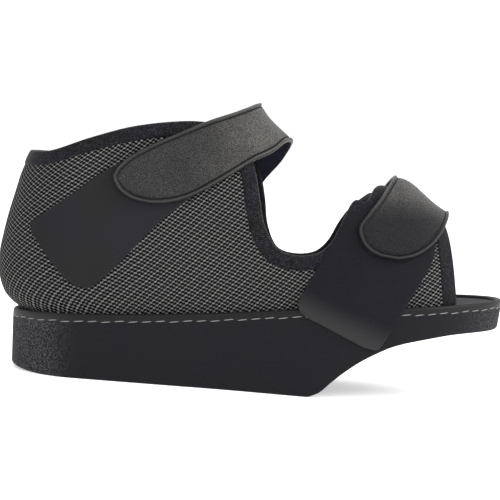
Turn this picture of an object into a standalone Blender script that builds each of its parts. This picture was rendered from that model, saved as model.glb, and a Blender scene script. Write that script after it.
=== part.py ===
"""A right post-operative shoe with a heel wedge that keeps the forefoot off the floor.

Lengths are in millimetres until a mesh is made. X runs to the toe, Y to the inner side of the
foot and Z up, and the origin is on the floor under the middle of the sole's bearing flat.
The foot's shape is a last: at each station, a distance from the sole's back, it has a
cross-section that rises from its foot beside the sole's edge, over the crown line, and down the
other side. A place on the upper is a station and an arc, the length up that section from its
foot. "side" is -1 for the outer side of the foot, where both straps close, and +1 for the inner.
"""

import functools
import math

import bmesh
import bpy
import numpy as np

MM = 0.001

# The sole
SOLE_LENGTH = 280.5
BALL_WIDTH = 95.0
HEEL_WIDTH = 78.0
HEEL_HEIGHT = 34.0
TOE_HEIGHT = 59.5
TOE_LIFT = 42.0
WEDGE_LENGTH = 171.0
HEEL_BEVEL_LENGTH = 28.0
HEEL_BEVEL_LIFT = 2.0
HEEL_ROUND = 40.0
TOE_ROUND = 70.0
SIDE_DRAFT = 1.0
FLOOR_EDGE_RADIUS = 2.2

# The rim, the insole and the clearance between neighbouring pieces
RIM_HEIGHT = 5.0
RIM_WIDTH = 3.5
RIM_CROWN = 1.1
RIM_OUTER_FALL = 1.75
RIM_INNER_EDGE = 0.9
INSOLE_THICKNESS = 3.0
INSOLE_DISH = 0.8
INSOLE_DISH_BORDER = 14.0
INSOLE_EDGE = 0.8
INSOLE_EASE = 0.6
INSOLE_FLARE = 8.0
GAP = 0.3

# The upper
WALL = 3.0
COLLAR_RISE = 112.0
HEEL_BULGE = 14.0
HEEL_CUP_LENGTH = 84.0
SIDE_SWELL = 4.0
SWELL_LENGTH = 168.0
INSTEP_HEIGHT = 118.0
BALL_HEIGHT = 70.5
OPEN_TOE_LENGTH = 28.5
TOE_EDGE_RAKE = 12.5
FLAP_LAP = 14.0
FLAP_EASE = 0.8
BINDING_WIDTH = 8.5
BINDING_PAD = 0.8
PAD_FADE = 6.0

# The straps and the loop panels that they close on
STRAP_THICKNESS = 2.5
STRAP_EASE = 0.45
FOLD_EDGE_LIFT = 2.8
FOLD_MIDDLE_DROP = 1.3
PANEL_THICKNESS = 1.0
PANEL_CLEARANCE = 0.1
PANEL_DROP = 23.2
BRIDGE_START = 0.5
BRIDGE_RISE = 15.0

TOE_OPENING = SOLE_LENGTH - OPEN_TOE_LENGTH
FLAP_SINK = WALL + 2 * BINDING_PAD + FLAP_EASE
PANEL_LIFT = BINDING_PAD + PANEL_CLEARANCE
ORIGIN = (HEEL_BEVEL_LENGTH + WEDGE_LENGTH) / 2

# Plan of the sole. station is a share of the sole's length, heel and ball are shares of the heel
# width and the ball width that add up to the full width there, and sway moves the middle line
# to the inner side by a share of the ball width.
PLAN = (
    dict(station=0.00, heel=0.97, ball=0.00, sway=-0.016),
    dict(station=0.15, heel=1.00, ball=0.00, sway=-0.024),
    dict(station=0.33, heel=0.70, ball=0.24, sway=-0.034),
    dict(station=0.47, heel=0.30, ball=0.60, sway=-0.026),
    dict(station=0.60, heel=0.05, ball=0.90, sway=-0.012),
    dict(station=0.72, heel=0.00, ball=1.00, sway=0.002),
    dict(station=0.82, heel=0.00, ball=0.99, sway=0.018),
    dict(station=0.92, heel=0.00, ball=0.93, sway=0.034),
    dict(station=1.00, heel=0.00, ball=0.89, sway=0.044),
)

# Top of the rim, as a share of the way up from the heel height to the toe height.
RIM_LINE = (
    dict(station=0.0, rise=0.00),
    dict(station=0.2, rise=0.13),
    dict(station=0.4, rise=0.32),
    dict(station=0.6, rise=0.59),
    dict(station=0.8, rise=0.79),
    dict(station=1.0, rise=1.00),
)

# Underside ahead of the wedge: along is a share of the way from the wedge's front to the toe,
# lift a share of the toe's lift.
RAMP = (
    dict(along=0.000, lift=0.000),
    dict(along=0.055, lift=0.067),
    dict(along=0.108, lift=0.205),
    dict(along=0.173, lift=0.360),
    dict(along=0.273, lift=0.555),
    dict(along=0.433, lift=0.768),
    dict(along=0.563, lift=0.858),
    dict(along=0.735, lift=0.942),
    dict(along=1.000, lift=1.000),
)

# Cross-sections of the last. instep and ball are shares of the instep height and the ball
# height that add up to the height of the section's crown over the insole, and roundness is
# the exponent of the section: 2 is an ellipse, more is squarer.
LAST = (
    dict(station=0.00, instep=2.00, ball=0.00, roundness=3.0),
    dict(station=0.22, instep=1.82, ball=0.00, roundness=3.0),
    dict(station=0.36, instep=1.34, ball=0.00, roundness=3.0),
    dict(station=0.46, instep=1.00, ball=0.00, roundness=2.6),
    dict(station=0.535, instep=0.78, ball=0.03, roundness=2.4),
    dict(station=0.62, instep=0.30, ball=0.62, roundness=2.3),
    dict(station=0.69, instep=0.07, ball=0.94, roundness=2.2),
    dict(station=0.77, instep=0.00, ball=0.99, roundness=2.2),
    dict(station=0.87, instep=0.00, ball=0.69, roundness=2.2),
    dict(station=1.00, instep=0.00, ball=0.40, roundness=2.2),
)

# Profile of the heel's back over the rim: height is a share of the collar rise, out of the heel
# bulge.
HEEL_BACK = (
    dict(height=0.000, out=0.00),
    dict(height=0.030, out=0.36),
    dict(height=0.076, out=0.70),
    dict(height=0.177, out=0.97),
    dict(height=0.260, out=1.00),
    dict(height=0.381, out=0.88),
    dict(height=0.474, out=0.74),
    dict(height=0.578, out=0.54),
    dict(height=0.680, out=0.34),
    dict(height=0.800, out=-0.02),
    dict(height=1.000, out=-0.64),
)

# Bulge of the two sides of the heel over the rim: height is a share of the collar rise, out of
# the side swell.
HEEL_SIDES = (
    dict(height=0.00, out=0.00),
    dict(height=0.12, out=0.62),
    dict(height=0.30, out=1.00),
    dict(height=0.55, out=0.75),
    dict(height=0.80, out=0.00),
    dict(height=1.00, out=-0.50),
)

# Top edge of the collar on both sides: height is a share of the collar rise.
COLLAR_EDGE = (
    dict(station=0.060, height=0.850),
    dict(station=0.130, height=0.914),
    dict(station=0.215, height=0.972),
    dict(station=0.310, height=0.998),
    dict(station=0.370, height=0.992),
)

# The edge goes on down the ankle's front, through the throat and up to the vamp's flap. girth is
# the arc as a share of the arc to the crown line.
OUTER_THROAT = (
    dict(station=0.420, girth=0.718),
    dict(station=0.456, girth=0.711),
    dict(station=0.475, girth=0.639),
    dict(station=0.487, girth=0.538),
    dict(station=0.501, girth=0.426),
    dict(station=0.530, girth=0.344),
    dict(station=0.570, girth=0.335),
    dict(station=0.608, girth=0.358),
    dict(station=0.630, girth=0.414),
    dict(station=0.645, girth=0.497),
    dict(station=0.658, girth=0.597),
    dict(station=0.675, girth=0.706),
)
INNER_THROAT = (
    dict(station=0.420, girth=0.718),
    dict(station=0.466, girth=0.711),
    dict(station=0.487, girth=0.639),
    dict(station=0.499, girth=0.538),
    dict(station=0.509, girth=0.412),
    dict(station=0.532, girth=0.318),
    dict(station=0.570, girth=0.302),
    dict(station=0.612, girth=0.320),
    dict(station=0.638, girth=0.392),
    dict(station=0.656, girth=0.506),
    dict(station=0.671, girth=0.600),
)

# Then it runs along the flap. lap is how far it lies past the crown line, as a share of the
# flaps' lap.
OUTER_FLAP = (
    dict(station=0.700, lap=-1.90),
    dict(station=0.720, lap=-0.60),
    dict(station=0.748, lap=0.50),
    dict(station=0.790, lap=1.00),
)
INNER_FLAP = (
    dict(station=0.689, lap=-2.00),
    dict(station=0.705, lap=-1.10),
    dict(station=0.726, lap=0.30),
    dict(station=0.770, lap=1.00),
)

# Where the inner side's flap dips under the outer side's: from and to these shares of the crown
# arc and of the sole's length.
SINK_GIRTHS = (0.50, 0.85)
SINK_STATIONS = (0.60, 0.68)

# The straps, a row for each cross line. back and front are the stations of the strap's two edges,
# and their girths go from 0 at the outer side's foot, over 1 on the crown line, to 2 at the inner
# side's foot. seat goes from 0, lying on the upper, to 1, clear of the panel under the strap.
# fold is 1 where the strap is folded flat, with its edges raised and its middle let down.
ANKLE_STRAP = (
    dict(back=0.198, back_girth=0.349, front=0.201, front_girth=0.339, seat=1.0, fold=0.0),
    dict(back=0.206, back_girth=0.375, front=0.214, front_girth=0.319, seat=1.0, fold=0.0),
    dict(back=0.227, back_girth=0.407, front=0.242, front_girth=0.305, seat=1.0, fold=0.0),
    dict(back=0.264, back_girth=0.456, front=0.290, front_girth=0.322, seat=1.0, fold=0.0),
    dict(back=0.318, back_girth=0.548, front=0.346, front_girth=0.385, seat=1.0, fold=0.0),
    dict(back=0.376, back_girth=0.669, front=0.406, front_girth=0.502, seat=1.0, fold=0.0),
    dict(back=0.424, back_girth=0.794, front=0.462, front_girth=0.658, seat=1.0, fold=0.0),
    dict(back=0.450, back_girth=0.898, front=0.508, front_girth=0.794, seat=1.0, fold=0.1),
    dict(back=0.458, back_girth=1.000, front=0.532, front_girth=1.000, seat=1.0, fold=0.4),
    dict(back=0.446, back_girth=1.192, front=0.525, front_girth=1.222, seat=1.0, fold=0.1),
    dict(back=0.410, back_girth=1.366, front=0.490, front_girth=1.408, seat=1.0, fold=0.0),
    dict(back=0.358, back_girth=1.550, front=0.436, front_girth=1.612, seat=0.9, fold=0.0),
    dict(back=0.305, back_girth=1.700, front=0.380, front_girth=1.773, seat=0.2, fold=0.0),
    dict(back=0.272, back_girth=1.776, front=0.346, front_girth=1.858, seat=0.0, fold=0.0),
)
FOREFOOT_STRAP = (
    dict(back=0.730, back_girth=0.346, front=0.766, front_girth=0.330, seat=1.0, fold=0.0),
    dict(back=0.707, back_girth=0.378, front=0.798, front_girth=0.365, seat=1.0, fold=0.0),
    dict(back=0.690, back_girth=0.433, front=0.826, front_girth=0.460, seat=1.0, fold=0.0),
    dict(back=0.684, back_girth=0.506, front=0.846, front_girth=0.605, seat=1.0, fold=0.0),
    dict(back=0.700, back_girth=0.592, front=0.858, front_girth=0.760, seat=1.0, fold=0.0),
    dict(back=0.727, back_girth=0.727, front=0.864, front_girth=0.900, seat=1.0, fold=0.3),
    dict(back=0.758, back_girth=1.000, front=0.865, front_girth=1.060, seat=1.0, fold=0.8),
    dict(back=0.740, back_girth=1.244, front=0.862, front_girth=1.250, seat=1.0, fold=0.3),
    dict(back=0.715, back_girth=1.406, front=0.844, front_girth=1.471, seat=0.8, fold=0.0),
    dict(back=0.685, back_girth=1.599, front=0.812, front_girth=1.718, seat=0.4, fold=0.0),
    dict(back=0.660, back_girth=1.769, front=0.784, front_girth=1.876, seat=0.1, fold=0.0),
    dict(back=0.648, back_girth=1.877, front=0.772, front_girth=1.920, seat=0.0, fold=0.0),
)

# The loop panels under the strap ends, on the outer side. back_up and front_up over 0 are the
# share of the way from the rim's top to the crown line, and under 0 they are a share of the
# panel's drop down the side of the sole. lift is a share of the panel's lift off the upper.
ANKLE_PANEL = (
    dict(back=0.078, back_up=0.185, front=0.140, front_up=0.082, lift=0.0),
    dict(back=0.073, back_up=0.205, front=0.157, front_up=0.064, lift=0.0),
    dict(back=0.081, back_up=0.221, front=0.178, front_up=0.062, lift=0.0),
    dict(back=0.099, back_up=0.242, front=0.196, front_up=0.079, lift=0.0),
    dict(back=0.135, back_up=0.286, front=0.225, front_up=0.124, lift=0.0),
    dict(back=0.190, back_up=0.355, front=0.281, front_up=0.233, lift=0.0),
    dict(back=0.262, back_up=0.429, front=0.341, front_up=0.353, lift=0.0),
    dict(back=0.325, back_up=0.526, front=0.388, front_up=0.463, lift=0.0),
    dict(back=0.372, back_up=0.597, front=0.420, front_up=0.561, lift=0.0),
)
FOREFOOT_PANEL = (
    dict(back=0.600, back_up=-0.222, front=0.714, front_up=-0.946, lift=0.0),
    dict(back=0.582, back_up=-0.058, front=0.739, front_up=-1.000, lift=0.0),
    dict(back=0.577, back_up=0.046, front=0.751, front_up=-0.821, lift=0.0),
    dict(back=0.590, back_up=0.122, front=0.769, front_up=-0.410, lift=0.0),
    dict(back=0.611, back_up=0.243, front=0.793, front_up=0.033, lift=0.5),
    dict(back=0.630, back_up=0.357, front=0.817, front_up=0.184, lift=1.0),
    dict(back=0.647, back_up=0.444, front=0.834, front_up=0.326, lift=1.0),
    dict(back=0.662, back_up=0.549, front=0.840, front_up=0.477, lift=1.0),
    dict(back=0.690, back_up=0.640, front=0.842, front_up=0.575, lift=1.0),
)

# Cross-section of the edge binding: across is a share of its width from the wall to the free
# edge, pad a share of the padding that stands proud, and deep a share of the wall's thickness.
BINDING_SECTION = (
    dict(across=0.00, pad=0.1, deep=0.0),
    dict(across=0.35, pad=1.0, deep=0.0),
    dict(across=0.80, pad=0.8, deep=0.0),
    dict(across=1.00, pad=0.0, deep=0.3),
    dict(across=1.00, pad=0.0, deep=0.75),
    dict(across=0.80, pad=-0.8, deep=1.0),
    dict(across=0.35, pad=-1.0, deep=1.0),
    dict(across=0.00, pad=-0.1, deep=1.0),
)

# Colours are linear RGB.
FOAM = dict(colour=(0.018, 0.018, 0.020), roughness=0.85)
RIM_SKIN = dict(colour=(0.030, 0.030, 0.031), roughness=0.65)
LINING = dict(colour=(0.012, 0.012, 0.014), roughness=0.95)
SPACER_MESH = dict(colour=(0.085, 0.085, 0.083), roughness=0.90)
LEATHERETTE = dict(colour=(0.045, 0.044, 0.042), roughness=0.50)
LOOP_PILE = dict(colour=(0.020, 0.020, 0.024), roughness=0.95)

# How finely the curves are sampled and the meshes divided. A bunching over 1 sets samples closer
# together near the foot of a section or of a wall column.
SECTION_SAMPLES = 180
SAMPLE_BUNCHING = 2.5
SPLINE_STEPS = 24
EDGE_COUNT = 46
TOE_EDGE_COUNT = 9
TOE_EDGE_FIRST = 0.12
WALL_ROWS = 10
WALL_BUNCHING = 1.25
EVEN_FEET = 0.6
PROBE = 0.05
END_EASE = 1.0


def clear_scene():
    for item in list(bpy.data.objects):
        bpy.data.objects.remove(item)


def smoothstep(value, low, high):
    t = min(max((value - low) / (high - low), 0.0), 1.0)
    return t * t * (3.0 - 2.0 * t)


def table_curve(rows, key, column):
    """A smooth function through a table's column that doesn't overshoot its rows."""
    xs = np.array([row[key] for row in rows])
    ys = np.array([row[column] for row in rows])
    steps = np.diff(xs)
    slopes = np.diff(ys) / steps
    tangents = np.zeros(len(xs))
    tangents[0], tangents[-1] = slopes[0], slopes[-1]
    for i in range(1, len(xs) - 1):
        if slopes[i - 1] * slopes[i] > 0:
            first = 2 * steps[i] + steps[i - 1]
            second = steps[i] + 2 * steps[i - 1]
            tangents[i] = (first + second) / (first / slopes[i - 1] + second / slopes[i])

    def value(x):
        i = int(min(max(np.searchsorted(xs, x) - 1, 0), len(xs) - 2))
        t = min(max((x - xs[i]) / steps[i], 0.0), 1.0)
        return float(
            (1 + 2 * t) * (1 - t) ** 2 * ys[i]
            + t * (1 - t) ** 2 * steps[i] * tangents[i]
            + t * t * (3 - 2 * t) * ys[i + 1]
            + t * t * (t - 1) * steps[i] * tangents[i + 1]
        )

    return value


def spline_through(points, count):
    """count points, evenly spaced along a smooth curve through the given points."""
    points = np.asarray(points, float)
    chords = np.sqrt(np.linalg.norm(np.diff(points, axis=0), axis=1))
    knots = np.concatenate([[0.0], np.cumsum(chords)])
    tangents = np.zeros_like(points)
    tangents[1:-1] = (points[2:] - points[:-2]) / (knots[2:] - knots[:-2])[:, None]
    tangents[0] = (points[1] - points[0]) / (knots[1] - knots[0])
    tangents[-1] = (points[-1] - points[-2]) / (knots[-1] - knots[-2])
    fine = []
    for i, step in enumerate(np.diff(knots)):
        for t in np.linspace(0, 1, SPLINE_STEPS, endpoint=i == len(knots) - 2):
            fine.append(
                (1 + 2 * t) * (1 - t) ** 2 * points[i]
                + t * (1 - t) ** 2 * step * tangents[i]
                + t * t * (3 - 2 * t) * points[i + 1]
                + t * t * (t - 1) * step * tangents[i + 1]
            )
    fine = np.array(fine)
    along = np.concatenate([[0.0], np.cumsum(np.linalg.norm(np.diff(fine, axis=0), axis=1))])
    wanted = np.linspace(0, along[-1], count)
    return np.stack([np.interp(wanted, along, fine[:, k]) for k in range(points.shape[1])], axis=1)


plan_heel = table_curve(PLAN, "station", "heel")
plan_ball = table_curve(PLAN, "station", "ball")
plan_sway = table_curve(PLAN, "station", "sway")
rim_rise = table_curve(RIM_LINE, "station", "rise")
ramp_lift = table_curve(RAMP, "along", "lift")
last_instep = table_curve(LAST, "station", "instep")
last_ball = table_curve(LAST, "station", "ball")
last_roundness = table_curve(LAST, "station", "roundness")
heel_back = table_curve(HEEL_BACK, "height", "out")
heel_sides = table_curve(HEEL_SIDES, "height", "out")


def end_round(distance, length):
    """The share of the full width that is left near a rounded end."""
    t = min(max(distance / length, 0.0), 1.0)
    return math.sqrt(1.0 - (1.0 - t) ** 2)


def half_width(x, inset):
    """Half the sole's width at x, on the outline moved inwards by inset."""
    share = x / SOLE_LENGTH
    full = plan_heel(share) * HEEL_WIDTH + plan_ball(share) * BALL_WIDTH
    heel = end_round(x - inset, HEEL_ROUND - inset)
    toe = end_round(SOLE_LENGTH - inset - x, TOE_ROUND - inset)
    return (full / 2 - inset) * heel * toe


def middle_line(x):
    return plan_sway(x / SOLE_LENGTH) * BALL_WIDTH


def rim_top(x):
    return HEEL_HEIGHT + rim_rise(x / SOLE_LENGTH) * (TOE_HEIGHT - HEEL_HEIGHT)


def sole_top(x):
    return rim_top(x) - RIM_HEIGHT


def sole_bottom(x):
    if x < HEEL_BEVEL_LENGTH:
        return HEEL_BEVEL_LIFT * (1.0 - x / HEEL_BEVEL_LENGTH) ** 2
    if x <= WEDGE_LENGTH:
        return 0.0
    return TOE_LIFT * ramp_lift((x - WEDGE_LENGTH) / (SOLE_LENGTH - WEDGE_LENGTH))


def sole_stations():
    """Shares of the way from the outline's back to its front, close together where it bends."""
    heel = [HEEL_ROUND * (1 - math.cos(a)) for a in np.linspace(0, math.pi / 2, 9)]
    toe = [SOLE_LENGTH - TOE_ROUND * (1 - math.cos(a)) for a in np.linspace(math.pi / 2, 0, 12)]
    wedge = list(np.linspace(HEEL_ROUND, WEDGE_LENGTH, 11)[1:])
    bend = list(np.linspace(WEDGE_LENGTH, toe[0], 8)[1:-1])
    return [x / SOLE_LENGTH for x in heel + wedge + bend + toe]


def outline_loop(stations, inset, height):
    """A closed loop round the outline moved inwards by inset, at height(x)."""
    insets = inset if callable(inset) else lambda _x: inset
    outer, inner = [], []
    for share in stations:
        x = share * SOLE_LENGTH
        for _ in range(4):
            x = share * SOLE_LENGTH + insets(x) * (1 - 2 * share)
        half = half_width(x, insets(x))
        outer.append((x, middle_line(x) - half, height(x)))
        inner.append((x, middle_line(x) + half, height(x)))
    return outer + inner[-2:0:-1]


def heel_bulge(x, height):
    """How far the heel's back stands behind station x at a height over the rim."""
    fade = 1.0 - smoothstep(x, 0.0, HEEL_CUP_LENGTH)
    return HEEL_BULGE * heel_back(height / COLLAR_RISE) * fade


@functools.lru_cache(maxsize=None)
def section(x):
    """The last's cross-section at x: half width, crown height, exponent and its arc lengths."""
    share = x / SOLE_LENGTH
    half = half_width(x, RIM_WIDTH + GAP)
    crown = last_instep(share) * INSTEP_HEIGHT + last_ball(share) * BALL_HEIGHT
    power = 2.0 / last_roundness(share)
    quarter = np.linspace(0.0, 1.0, SECTION_SAMPLES + 1) ** SAMPLE_BUNCHING * math.pi / 2
    angles = np.concatenate([quarter, math.pi - quarter[-2::-1]])
    ys = np.sign(np.cos(angles)) * np.abs(np.cos(angles)) ** power * half
    zs = np.abs(np.sin(angles)) ** power * crown
    arcs = np.concatenate([[0.0], np.cumsum(np.hypot(np.diff(ys), np.diff(zs)))])
    return half, crown, power, angles, arcs


def crown_arc(x):
    return float(section(x)[4][SECTION_SAMPLES])


def arc_at_height(x, height):
    """The arc length up the section at x to a height over the section's foot."""
    _half, crown, power, angles, arcs = section(x)
    sine = min(max(height / crown, 0.0), 1.0) ** (1.0 / power)
    return float(np.interp(math.asin(sine), angles, arcs))


def last_surface(x, arc, side):
    """The point of the upper's outer face at station x, arc up from its foot on one side."""
    half, crown, power, angles, arcs = section(x)
    angle = float(np.interp(arc, arcs, angles))
    cosine = math.copysign(abs(math.cos(angle)) ** power, math.cos(angle))
    height = abs(math.sin(angle)) ** power * crown
    swell = SIDE_SWELL * heel_sides((height - RIM_HEIGHT) / COLLAR_RISE)
    swell *= 1.0 - smoothstep(x, HEEL_CUP_LENGTH, SWELL_LENGTH)
    wide = half * (1.0 + swell / (HEEL_WIDTH / 2))
    back = heel_bulge(x, height - RIM_HEIGHT)
    foot = sole_top(x) + GAP
    return np.array([x - back, middle_line(x) + side * wide * cosine, foot + height])


def upper_point(x, arc, side, out):
    """last_surface moved out along its normal."""
    here = last_surface(x, arc, side)
    low = max(x - PROBE, RIM_WIDTH + GAP)
    along = last_surface(x + PROBE, arc, side) - last_surface(low, arc, side)
    up = last_surface(x, arc + PROBE, side) - last_surface(x, max(arc - PROBE, 0.0), side)
    normal = -side * np.cross(along, up)
    if x <= low:
        normal[1] = 0.0
    return here + out * normal / np.linalg.norm(normal)


def add_solid(name, vertices, faces, finish, smooth_angle=40.0):
    """A closed mesh object, moved to the origin of the part and turned outwards."""
    mesh = bpy.data.meshes.new(name)
    placed = [((x - ORIGIN) * MM, y * MM, z * MM) for x, y, z in vertices]
    mesh.from_pydata(placed, [], faces)
    work = bmesh.new()
    work.from_mesh(mesh)
    bmesh.ops.recalc_face_normals(work, faces=work.faces)
    bmesh.ops.triangulate(work, faces=work.faces)
    work.to_mesh(mesh)
    work.free()
    mesh.shade_smooth()
    mesh.set_sharp_from_angle(angle=math.radians(smooth_angle))
    mesh.materials.append(make_material(name + "_finish", finish))
    item = bpy.data.objects.new(name, mesh)
    bpy.context.scene.collection.objects.link(item)
    return item


def make_material(name, finish):
    material = bpy.data.materials.new(name)
    material.use_nodes = True
    shader = material.node_tree.nodes["Principled BSDF"]
    shader.inputs["Base Color"].default_value = (*finish["colour"], 1.0)
    shader.inputs["Roughness"].default_value = finish["roughness"]
    shader.inputs["Metallic"].default_value = 0.0
    return material


def loops_to_solid(name, loops, finish, closed_section=False):
    """Loops of equal count joined in order, closed by strips across the first and last loop.

    With closed_section the last loop is joined to the first instead, which makes a ring.
    """
    count = len(loops[0])
    vertices = [point for loop in loops for point in loop]
    faces = []
    pairs = list(zip(range(len(loops) - 1), range(1, len(loops))))
    if closed_section:
        pairs.append((len(loops) - 1, 0))
    for a, b in pairs:
        for i in range(count):
            j = (i + 1) % count
            faces.append((a * count + i, a * count + j, b * count + j, b * count + i))
    if not closed_section:
        for start in (0, (len(loops) - 1) * count):
            last = count // 2
            faces.append((start, start + 1, start + count - 1))
            for i in range(1, last - 1):
                faces.append(
                    (start + i, start + i + 1, start + count - i - 1, start + count - i)
                )
            faces.append((start + last - 1, start + last, start + last + 1))
    return add_solid(name, vertices, faces, finish)


def grids_to_solid(name, outer, inner, finish):
    """Two grids of points, the outer and the inner face, closed round their border."""
    rows, columns = len(outer), len(outer[0])
    vertices = [p for line in outer for p in line] + [p for line in inner for p in line]
    shift = rows * columns
    faces = []
    for r in range(rows - 1):
        for c in range(columns - 1):
            a, b = r * columns + c, (r + 1) * columns + c
            faces.append((a, a + 1, b + 1, b))
            faces.append((shift + a, shift + b, shift + b + 1, shift + a + 1))
    border = [c for c in range(columns)]
    border += [r * columns + columns - 1 for r in range(1, rows)]
    border += [(rows - 1) * columns + c for c in range(columns - 2, -1, -1)]
    border += [r * columns for r in range(rows - 2, 0, -1)]
    for a, b in zip(border, border[1:] + border[:1]):
        faces.append((a, b, shift + b, shift + a))
    return add_solid(name, vertices, faces, finish)


def sole_inset(share_up):
    """How far the sole's side leans in at a share of its height."""
    return SIDE_DRAFT * (1.0 - share_up)


def make_sole():
    stations = sole_stations()
    radius = FLOOR_EDGE_RADIUS
    loops = [outline_loop(stations, 0.0, sole_top)]
    for share in (0.66, 0.33):
        loops.append(
            outline_loop(
                stations,
                sole_inset(share),
                lambda x, s=share: sole_bottom(x)
                + radius
                + s * (sole_top(x) - sole_bottom(x) - radius),
            )
        )
    for angle in np.linspace(0.0, math.pi / 2, 4):
        loops.append(
            outline_loop(
                stations,
                SIDE_DRAFT + radius * (1 - math.cos(angle)),
                lambda x, a=angle: sole_bottom(x) + radius * (1 - math.sin(a)),
            )
        )
    return loops_to_solid("sole", loops, FOAM)


def rim_low(x):
    return sole_top(x) + GAP


def make_rim():
    stations = sole_stations()
    loops = [
        outline_loop(stations, 0.0, rim_low),
        outline_loop(stations, 0.0, lambda x: rim_top(x) - RIM_OUTER_FALL),
        outline_loop(stations, RIM_CROWN, rim_top),
        outline_loop(stations, RIM_WIDTH - RIM_INNER_EDGE, rim_top),
        outline_loop(stations, RIM_WIDTH, lambda x: rim_top(x) - RIM_CROWN),
        outline_loop(stations, RIM_WIDTH, rim_low),
    ]
    return loops_to_solid("rim", loops, RIM_SKIN, closed_section=True)


def insole_inset(x):
    """Inside the upper's wall, and out to the rim ahead of the toe opening."""
    inside = RIM_WIDTH + WALL + BINDING_PAD + GAP + INSOLE_EASE
    flare_start = TOE_OPENING + GAP + INSOLE_EASE
    flare = smoothstep(x, flare_start, flare_start + INSOLE_FLARE)
    return inside + (RIM_WIDTH + GAP - inside) * flare


def insole_low(x):
    return sole_top(x) + GAP


def insole_high(x):
    return insole_low(x) + INSOLE_THICKNESS


def make_insole():
    stations = sole_stations()
    loops = [
        outline_loop(
            stations,
            lambda x: insole_inset(x) + INSOLE_DISH_BORDER,
            lambda x: insole_high(x) - INSOLE_DISH,
        ),
        outline_loop(stations, lambda x: insole_inset(x) + INSOLE_EDGE, insole_high),
        outline_loop(stations, insole_inset, lambda x: insole_high(x) - INSOLE_EDGE),
        outline_loop(stations, insole_inset, insole_low),
    ]
    return loops_to_solid("insole", loops, LINING)


def free_edge(throat, flap):
    """The upper's free edge on one side in (station, arc), from the heel to the flap's corner."""
    back = RIM_WIDTH + GAP
    points = [(back, arc_at_height(back + END_EASE, COLLAR_EDGE[0]["height"] * COLLAR_RISE))]
    for row in COLLAR_EDGE:
        x = row["station"] * SOLE_LENGTH
        points.append((x, arc_at_height(x, row["height"] * COLLAR_RISE)))
    for row in throat:
        x = row["station"] * SOLE_LENGTH
        points.append((x, row["girth"] * crown_arc(x)))
    for row in flap:
        x = row["station"] * SOLE_LENGTH
        points.append((x, crown_arc(x) + row["lap"] * FLAP_LAP))
    stop = TOE_OPENING - TOE_EDGE_RAKE - BINDING_WIDTH - END_EASE
    points.append((stop, crown_arc(stop) + FLAP_LAP))
    return even_on_surface(spline_through(points, 12 * EDGE_COUNT), EDGE_COUNT)


def even_on_surface(line, count):
    """count (station, arc) pairs at even distances along a line on the last."""
    places = np.array([last_surface(x, arc, -1) for x, arc in line])
    steps = np.linalg.norm(np.diff(places, axis=0), axis=1)
    along = np.concatenate([[0.0], np.cumsum(steps)])
    wanted = np.linspace(0, along[-1], count)
    return np.stack([np.interp(wanted, along, line[:, k]) for k in (0, 1)], axis=1)


def inside_line(edge, distance):
    """The edge moved into the wall by distance, in the plane of station and arc."""
    along = np.gradient(edge, axis=0)
    along /= np.linalg.norm(along, axis=1)[:, None]
    line = edge + distance * np.stack([along[:, 1], -along[:, 0]], axis=1)
    line[0] = (edge[0][0], edge[0][1] - distance)
    return line


def flap_sink(x, arc, side):
    """How far the inner side's flap dips to pass under the outer side's flap."""
    if side < 0:
        return 0.0
    high = smoothstep(arc / crown_arc(x), *SINK_GIRTHS)
    return FLAP_SINK * high * smoothstep(x / SOLE_LENGTH, *SINK_STATIONS)


def sunk_point(x, arc, side, out):
    return upper_point(x, arc, side, out - flap_sink(x, arc, side))


def wall_columns(edge):
    """Columns of (station, arc) that fill the wall from its foot to the binding's seam."""
    seam = inside_line(edge, BINDING_WIDTH + GAP)
    end_x = TOE_OPENING - BINDING_WIDTH - GAP
    corner_x = TOE_OPENING - TOE_EDGE_RAKE - BINDING_WIDTH - GAP
    corner = np.array([corner_x, seam[-1][1] + crown_arc(corner_x) - crown_arc(seam[-1][0])])
    seam = np.vstack([seam, corner])
    steps = np.linalg.norm(np.diff(seam, axis=0), axis=1)
    along = np.concatenate([[0.0], np.cumsum(steps)])
    first = int(np.searchsorted(seam[:, 0], HEEL_ROUND))
    feet = seam[:, 0].copy()
    share = (along[first:] - along[first]) / (along[-1] - along[first])
    even = seam[first, 0] + share * (end_x - seam[first, 0])
    own = seam[first, 0] + (seam[first:, 0] - seam[first, 0]) * (
        (end_x - seam[first, 0]) / (corner_x - seam[first, 0])
    )
    feet[first:] = EVEN_FEET * even + (1.0 - EVEN_FEET) * own
    columns = []
    for foot, top in zip(feet, seam):
        rim = RIM_HEIGHT / top[1]
        ups = np.linspace(0, 1, WALL_ROWS - 1) ** WALL_BUNCHING
        shares = [0.0] + [rim + (1.0 - rim) * up for up in ups]
        columns.append([(foot + (top[0] - foot) * v, top[1] * v) for v in shares])
    return columns


def make_upper(edges):
    outer, inner = [], []
    for side in (-1, 1):
        columns = wall_columns(edges[side])
        columns = columns[::-1] if side < 0 else columns[1:]
        for column in columns:
            outer.append([sunk_point(x, arc, side, 0.0) for x, arc in column])
            inner.append([sunk_point(x, arc, side, -WALL) for x, arc in column])
    return grids_to_solid("upper", outer, inner, SPACER_MESH)


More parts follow.
